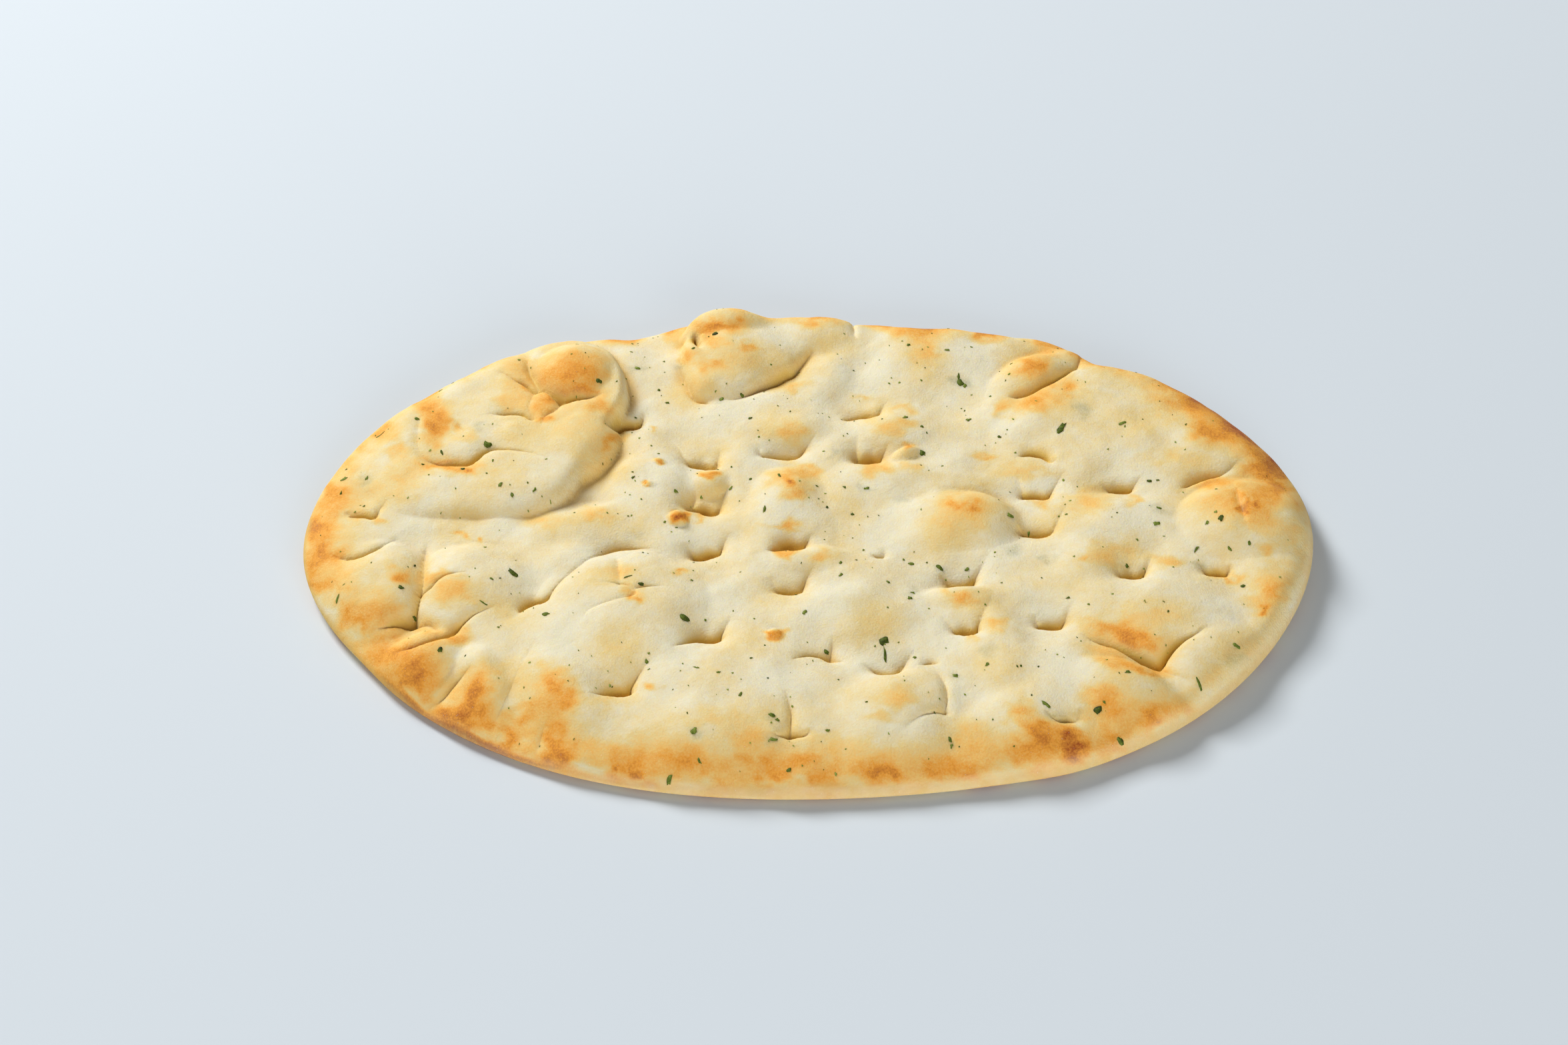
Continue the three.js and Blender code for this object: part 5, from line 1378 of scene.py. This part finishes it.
@dataclass
class Naan:
    """The bread: its outline, crust relief and mesh.

    Each wave of the outline holds its count, its depth as a share of the size, and its shift.
    """

    length: float = 241.0
    width: float = 166.5
    outline_waves: tuple[Triple, ...] = (
        (2, -0.012, 0.0), (3, 0.012, 0.5 * math.pi), (4, -0.008, 0.0), (6, 0.008, 0.6))
    outline_steps: int = 3600
    nudge_steps: int = 6
    angle_rounds: int = 8
    crust_level: float = 11.0
    blister_foot: float = 10.0
    waviness: Lumps = Lumps(0.45, 26, 0.9)
    dimples: tuple[Lumps, ...] = (Lumps(0.14, 11, 0.3, 9), Lumps(0.025, 4.5, 2.2, 9))
    roll_power: float = 2.3
    roll_band: float = 0.11
    under_roll: float = 0.05
    rim_points: int = 1120
    least_points: int = 8
    roll_rings: int = 14
    crust_rings: int = 138
    under_rings: int = 6
    base_points: int = 60
    base_share: float = 0.5
    fold_steps: int = 5
    fold_sight_steps: int = 201
    flake_sight_steps: int = 161
    flake_edge: float = 0.995
    gather: float = 1.5
    gather_band: Pair = (0.93, 0.99)
    # The painted warm shade in dips: how widely the crust around is taken, the step it is read at, and the
    # dips it comes in between
    dip_reach: float = 3.0
    dip_step: float = 0.8
    dip_band: Pair = (0.2, 1.6)
    sight: Sight = field(default_factory=Sight)
    finish: CrustFinish = field(default_factory=CrustFinish)

    def __post_init__(self) -> None:
        """Fit the outline to the length and width, and lay the folds on the plan."""
        x, y = self._loose_rim(np.linspace(0, math.tau, self.outline_steps))
        self._loose_middle = ((x.max() + x.min()) / 2, (y.max() + y.min()) / 2)
        self._scale = (self.length / (x.max() - x.min()), self.width / (y.max() - y.min()))
        self._runs = [self._on_plan(fold) for fold in FOLDS]

    def _loose_rim(self, t: Array) -> tuple[Array, Array]:
        """Give an oval with a few slow waves and the nudges, before it is fitted.

        Args:
            t: Angles from the right end.

        Returns:
            Places along and across.
        """
        waves = 1 + sum(depth * np.cos(count * t - shift) for count, depth, shift in self.outline_waves)
        nudge = by_bearing(smooth_run(np.array(RIM_NUDGES, float), self.nudge_steps), t)
        return (self.length / 2 * waves + nudge) * np.cos(t), (self.width / 2 * waves + nudge) * np.sin(t)

    def rim(self, t: Array) -> tuple[Array, Array]:
        """Give points of the outline.

        Args:
            t: Angles from the right end.

        Returns:
            Places along and across the survey.
        """
        x, y = self._loose_rim(t)
        return ((x - self._loose_middle[0]) * self._scale[0] + SURVEY_MIDDLE[0],
                (y - self._loose_middle[1]) * self._scale[1] + SURVEY_MIDDLE[1])

    def _rim_from_middle(self, t: Array) -> tuple[Array, Array]:
        """Give points of the outline as seen from the middle."""
        x, y = self.rim(t)
        return x - SURVEY_MIDDLE[0], y - SURVEY_MIDDLE[1]

    def angle_and_share(self, x: Array, y: Array) -> tuple[Array, Array]:
        """Place points by angle and by share of the way from the middle to the rim.

        Args:
            x: Places along the survey.
            y: Places across the survey.

        Returns:
            The angles and the shares.
        """
        x, y = x - SURVEY_MIDDLE[0], y - SURVEY_MIDDLE[1]
        wanted = np.arctan2(y / self.width, x / self.length)
        t = wanted.copy()
        for _ in range(self.angle_rounds):
            rim_x, rim_y = self._rim_from_middle(t)
            off = wanted - np.arctan2(rim_y / self.width, rim_x / self.length)
            t += np.arctan2(np.sin(off), np.cos(off))
        return t, np.hypot(x, y) / np.hypot(*self._rim_from_middle(t))

    def swollen(self, x: Array, y: Array) -> Array:
        """Work out the raised crust without its folds and holes.

        Args:
            x: Places along the survey.
            y: Places across the survey.

        Returns:
            The crust's heights.
        """
        height = self.crust_level + self.waviness.at(x, y)
        for raised_part in (*SWELLINGS, *BLISTERS):
            height = raised_part.raised(height, x, y, self.blister_foot)
        return height

    def _on_plan(self, fold: Fold) -> Array:
        """Slide a fold's points along their lines of sight onto the raised crust.

        Args:
            fold: The fold as it is seen.

        Returns:
            A smooth curve on the plan, with its depth in the third column.
        """
        run = np.array(fold.run, float)
        heights = np.linspace(*SIGHT_SPAN, self.fold_sight_steps)
        x, y = self.sight.below(run[:, 0], run[:, 1], heights)
        t, share = self.angle_and_share(x.ravel(), y.ravel())
        crust = self._rolled(self.swollen(x.ravel(), y.ravel()), t, np.clip(share, 0, 1))
        met = crust.reshape(x.shape) - fold.sink()[:, None] >= heights
        first = np.argmax(met, 1)[:, None]
        run[:, :2] = np.hstack([np.take_along_axis(x, first, 1), np.take_along_axis(y, first, 1)])
        return smooth_run(run, self.fold_steps)

    def relief(self, x: Array, y: Array) -> tuple[Array, Array]:
        """Work out the open crust before the rim rolls it under.

        Args:
            x: Places along the survey.
            y: Places across the survey.

        Returns:
            The crust's heights, and the painted shade of holes and folds, from 0 to 1, strongest at their
            bottoms.
        """
        height, hollow = self.swollen(x, y), np.zeros_like(x)
        for fold, run in zip(FOLDS, self._runs):
            height, line = fold.pressed(height, x, y, run)
            hollow = np.maximum(hollow, line)
        return height + lumpy(self.dimples, x, y), hollow

    def _gathered(self, t: Array, share: Array) -> tuple[Array, Array]:
        """Place the mesh's points, drawn together along the lips of folds so that these come out crisp.

        Args:
            t: Angles from the right end.
            share: Shares of the way from the middle to the rim.

        Returns:
            Places along and across the survey.
        """
        x, y = self._inset(t, share)
        loose = 1 - ramp(share, *self.gather_band)
        for run in self._runs:
            close = close_to(run, self.gather, x, y)
            if close.size:
                off = Nearest.to_run(run, x[close], y[close]).off
                pull = loose[close] * np.clip(1 - np.hypot(*off) / self.gather, 0, 1)
                x[close] -= off[0] * pull
                y[close] -= off[1] * pull
        return x, y

    def crust(self, x: Array, y: Array, t: Array, share: Array) -> tuple[Array, Array]:
        """Give points of the top crust.

        Args:
            x: Places along the survey.
            y: Places across the survey.
            t: Their angles from the right end.
            share: Their shares of the way from the middle to the rim.

        Returns:
            The points, one row each, and the painted shade of holes and folds at each.
        """
        height, hollow = self.relief(x, y)
        return np.stack([x, y, self._rolled(height, t, share)], 1), hollow

    def _rolled(self, height: Array, t: Array, share: Array) -> Array:
        """Let the crust fall towards the rim and roll under there.

        Args:
            height: Heights of the open crust.
            t: Angles from the right end.
            share: Shares of the way from the middle to the rim.

        Returns:
            Heights of the rolled crust.
        """
        bearings, *columns = RIM_PROFILE.T
        edge, width, drop, reach = (by_bearing(np.stack([bearings, column], 1), t) for column in columns)
        roll = np.sqrt(1 - (1 - np.clip((1 - share) / width, 0, 1)) ** self.roll_power)
        fall = drop * (1 - np.clip((1 - share) / reach, 0, 1)) ** 2
        return edge + (height - fall - edge) * roll

    def _inset(self, t: Array, share: Array) -> tuple[Array, Array]:
        """Give places at a share of the way from the middle to the rim."""
        rim_x, rim_y = self._rim_from_middle(t)
        return SURVEY_MIDDLE[0] + rim_x * share, SURVEY_MIDDLE[1] + rim_y * share

    def crust_over(self, x: Array, y: Array) -> Array:
        """Give the crust's height over places on the plan."""
        t, share = self.angle_and_share(x, y)
        return self.crust(x, y, t, np.clip(share, 0, 1))[0][:, 2]

    def under(self, t: Array, share: Array) -> Array:
        """Give points of the underside, which curves from the edge down to the flat base.

        Args:
            t: Angles from the right end.
            share: Shares of the way from the middle to the rim.

        Returns:
            The points, one row each.
        """
        inward = np.clip((1 - share) / self.under_roll, 0, 1)
        z = by_bearing(RIM_PROFILE[:, :2], t) * (1 - np.sqrt(1 - (1 - inward) ** 2))
        return np.stack([*self._inset(t, share), z], 1)

    def seen_at(self, at: Pair) -> Pair | None:
        """Find the place on the crust that shows at a point of the sight level.

        Args:
            at: Point of the sight level.

        Returns:
            Its place on the plan, or None where the line of sight misses the bread.
        """
        heights = np.linspace(*SIGHT_SPAN, self.flake_sight_steps)
        (x,), (y,) = self.sight.below(np.array([at[0]]), np.array([at[1]]), heights)
        share = self.angle_and_share(x, y)[1]
        met = (self.crust_over(x, y) >= heights) & (share < self.flake_edge)
        if not met.any():
            return None
        first = int(np.argmax(met))
        return float(x[first]), float(y[first])

    def dip_shade(self, points: Array) -> Array:
        """Find how far points lie below the crust around them, which sets the painted warm shade in dips.

        Args:
            points: Points of the bread, one row each.

        Returns:
            Values from 0 to 1.
        """
        low = np.array(SURVEY_MIDDLE) - (self.length / 2, self.width / 2)
        along, across = (np.arange(0, side, self.dip_step) for side in (self.length, self.width))
        x, y = np.meshgrid(low[0] + along, low[1] + across)
        height = self.crust_over(x.ravel(), y.ravel()).reshape(x.shape)
        waves_along = np.fft.rfftfreq(along.size, self.dip_step)
        waves_across = np.fft.fftfreq(across.size, self.dip_step)[:, None]
        spread = np.exp(-2 * (math.pi * self.dip_reach) ** 2 * (waves_along ** 2 + waves_across ** 2))
        dip = np.fft.irfft2(np.fft.rfft2(height) * spread, height.shape) - height
        place = (points[:, :2] - low) / self.dip_step
        i, j = np.clip(place.astype(int), 0, (along.size - 2, across.size - 2)).T
        u, v = np.clip(place.T - (i, j), 0, 1)
        nearer = dip[j, i] * (1 - u) + dip[j, i + 1] * u
        farther = dip[j + 1, i] * (1 - u) + dip[j + 1, i + 1] * u
        return ramp(nearer * (1 - v) + farther * v, *self.dip_band)

    def _rings(self) -> tuple[RingMesh, int]:
        """Lay rings over the top crust from the edge to the middle, then under it in the same way.

        Returns:
            The rings, and the number of points on the top crust.
        """
        rings = RingMesh()
        quarter = 0.5 * math.pi
        for i in range(self.roll_rings + 1):
            rings.add(self.rim_points, 1 - self.roll_band * (1 - math.cos(quarter * i / self.roll_rings)))
        for i in range(1, self.crust_rings):
            share = (1 - self.roll_band) * (1 - i / self.crust_rings)
            rings.add(max(self.least_points, round(self.rim_points * share)), share)
        rings.add(1, 0.0)
        crust_count = rings.count
        rings.return_to_edge()
        for i in range(1, self.under_rings + 1):
            rings.add(self.rim_points, 1 - self.under_roll * (1 - math.cos(quarter * i / self.under_rings)))
        rings.add(self.base_points, self.base_share)
        rings.add(1, 0.0)
        return rings, crust_count

    def build(self) -> bpy.types.Object:
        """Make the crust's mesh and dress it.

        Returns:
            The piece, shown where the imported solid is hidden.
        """
        rings, crust_count = self._rings()
        t, share, triangles = rings.angles(), rings.shares(), rings.triangles()
        points, hollow = self.crust(*self._gathered(t, share), t, share)
        top = np.arange(len(points)) < crust_count
        points = np.where(top[:, None], points, self.under(t, share))
        baking = Baking(self.sight)
        values = {
            "browning": baking.browning(points, t, share, top, steepness_of(points, triangles)),
            # Painted shade in holes and folds
            "hollow": np.where(top, hollow, 0),
            # Painted warm shade in dips
            "dip_shade": np.where(top, self.dip_shade(points), 0),
            "stain": baking.stain(points, top),
            # Flour on the rim's lowest band, with painted bounced light
            "flour": baking.flour(t, share),
        }
        piece = mesh_piece("naan_crust", points, triangles, values, self.finish.material())
        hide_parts(NODE)
        return piece


@dataclass
class Coriander:
    """Chopped coriander baked onto the crust.

    Pairs are the bounds that random draws lie between.
    """

    naan: Naan
    specks: int = 420
    speck_edge: float = 0.97
    speck_half: Pair = (0.16, 0.46)
    speck_shrink: Pair = (0.6, 1.0)
    speck_slimness: Pair = (0.4, 0.9)
    speck_tone: Pair = (0.3, 1.0)
    outline_points: int = 10
    raggedness: Pair = (0.35, 1.35)
    own_share: float = 0.75
    curl: Pair = (0.2, 1.6)
    proud: float = 0.12
    root: float = 0.35
    seed: int = 71
    finish: HerbFinish = field(default_factory=HerbFinish)

    def placed(self, draw: np.random.Generator) -> list[Flake]:
        """Give every flake on the plan: those that stand out, then fine specks all over.

        Args:
            draw: Seeded random draws.

        Returns:
            The flakes with their places on the plan.
        """
        flakes = []
        for flake in FLAKES:
            at = self.naan.seen_at(flake.at)
            if at is None:
                LOG.warning("flake at %s misses the bread", flake.at)
            else:
                flakes.append(replace(flake, at=at))
        return flakes + [self._speck(draw) for _ in range(self.specks)]

    def _speck(self, draw: np.random.Generator) -> Flake:
        """Draw one fine speck.

        Args:
            draw: Seeded random draws.

        Returns:
            The speck with its place on the plan.
        """
        t, share = math.tau * draw.random(), self.speck_edge * math.sqrt(draw.random())
        x, y = self.naan.rim(np.array([t]))
        half = draw.uniform(*self.speck_half) * draw.uniform(*self.speck_shrink)
        halves = (half, half * draw.uniform(*self.speck_slimness))
        turn, tone = draw.uniform(0, FULL_TURN / 2), draw.uniform(*self.speck_tone)
        return Flake((float(x[0]) * share, float(y[0]) * share), halves, turn, tone)

    def _cut(self, flake: Flake, draw: np.random.Generator) -> tuple[Array, Array]:
        """Cut one ragged flake.

        Args:
            flake: The flake on the plan.
            draw: Seeded random draws.

        Returns:
            Places of its upper ring, lower ring and middle on the plan, and their heights above the crust.
        """
        count = self.outline_points
        angle = np.arange(count) * math.tau / count
        loose = draw.uniform(*self.raggedness, count)
        ragged = self.own_share * loose + (1 - self.own_share) * np.roll(loose, 1)
        u, v = flake.size[0] * ragged * np.cos(angle), flake.size[1] * ragged * np.sin(angle)
        c, s = math.cos(math.radians(flake.turn)), math.sin(math.radians(flake.turn))
        ring = np.stack([flake.at[0] + c * u - s * v, flake.at[1] + s * u + c * v], 1)
        raised = self.proud * draw.uniform(*self.curl, count)
        lift = np.concatenate([raised, np.full(count, -self.root), [self.proud]])
        return np.vstack([ring, ring, [flake.at]]), lift

    def _faces(self) -> Array:
        """Join one flake's points.

        Returns:
            The triangles of its top, edge and underside, one row each.
        """
        count = self.outline_points
        faces = []
        for a in range(count):
            b = (a + 1) % count
            faces += [(a, b, 2 * count), (a, a + count, b), (b, a + count, b + count)]
        faces += [(count, count + i + 1, count + i) for i in range(1, count - 1)]
        return np.array(faces)

    def build(self) -> bpy.types.Object:
        """Make all flakes as one mesh that lies on the crust and dress it.

        Returns:
            The piece.
        """
        draw = np.random.default_rng(self.seed)
        flakes = self.placed(draw)
        plan, lift = (np.concatenate(parts) for parts in zip(*(self._cut(flake, draw) for flake in flakes)))
        each = len(plan) // len(flakes)
        triangles = np.vstack([self._faces() + first for first in range(0, len(plan), each)])
        points = np.column_stack([plan, self.naan.crust_over(plan[:, 0], plan[:, 1]) + lift])
        values = {"tone": np.repeat([flake.tone for flake in flakes], each)}
        return mesh_piece("coriander", points, triangles, values, self.finish.material())


@dataclass(frozen=True)
class Lamp:
    """A soft square light that faces the bread, placed in metres."""

    name: str
    place: Triple
    size: float
    watts: float
    colour: Colour = (1.0, 0.98, 0.95)

    def build(self) -> None:
        """Hang the light."""
        light = bpy.data.lights.new(self.name, "AREA")
        light.size = self.size
        light.energy = self.watts
        light.color = self.colour
        lamp = bpy.data.objects.new(self.name, light)
        lamp.location = self.place
        aim(lamp, -Vector(self.place))


@dataclass
class Studio:
    """The pale floor, the soft light from the back left, a weak one from the front, and the camera."""

    sight: Sight
    floor_half: float = 3.0
    floor_finish: FloorFinish = field(default_factory=FloorFinish)
    lamps: tuple[Lamp, ...] = (
        Lamp("key", (-1.12, 1.4, 1.4), 0.75, 56.0),
        Lamp("fill", (0.4, -1.6, 0.3), 1.2, 24.0),
    )
    sky_colour: Colour = (1.0, 1.0, 1.0)
    sky_strength: float = 0.2

    def build(self) -> None:
        """Set up the floor, the lights and the camera."""
        self._floor()
        for lamp in self.lamps:
            lamp.build()
        self._sky()
        self._camera()
        bpy.context.scene.view_settings.view_transform = "Standard"

    def _floor(self) -> None:
        """Lay the floor."""
        mesh = bpy.data.meshes.new("floor")
        half = self.floor_half
        corners = [(-half, -half, 0), (half, -half, 0), (half, half, 0), (-half, half, 0)]
        mesh.from_pydata(corners, [], [tuple(range(len(corners)))])
        mesh.materials.append(self.floor_finish.material())
        floor = bpy.data.objects.new("floor", mesh)
        bpy.context.scene.collection.objects.link(floor)

    def _sky(self) -> None:
        """Light the room evenly."""
        world = bpy.data.worlds.new("room")
        world.use_nodes = True
        background = world.node_tree.nodes["Background"]
        background.inputs["Color"].default_value = (*self.sky_colour, 1.0)
        background.inputs["Strength"].default_value = self.sky_strength
        bpy.context.scene.world = world

    def _camera(self) -> None:
        """Set the camera at the sight's eye."""
        camera = bpy.data.cameras.new("camera")
        camera.lens = self.sight.lens
        camera.sensor_width = self.sight.sensor
        stand = bpy.data.objects.new("camera", camera)
        stand.location = (self.sight.eye - Vector((*SURVEY_MIDDLE, 0))) * MILLIMETRE
        aim(stand, -self.sight.back)
        bpy.context.scene.camera = stand


def main() -> None:
    """Build the bread, its herb and the studio in order."""
    logging.basicConfig(level=logging.INFO, format="%(name)s: %(message)s")
    sight = Sight()
    naan = Naan(sight=sight)
    for piece in (naan.build(), Coriander(naan).build()):
        LOG.info("%s has %d triangles", piece.name, len(piece.data.polygons))
    Studio(sight).build()
    bpy.context.view_layer.update()


if __name__ == "__main__":
    main()
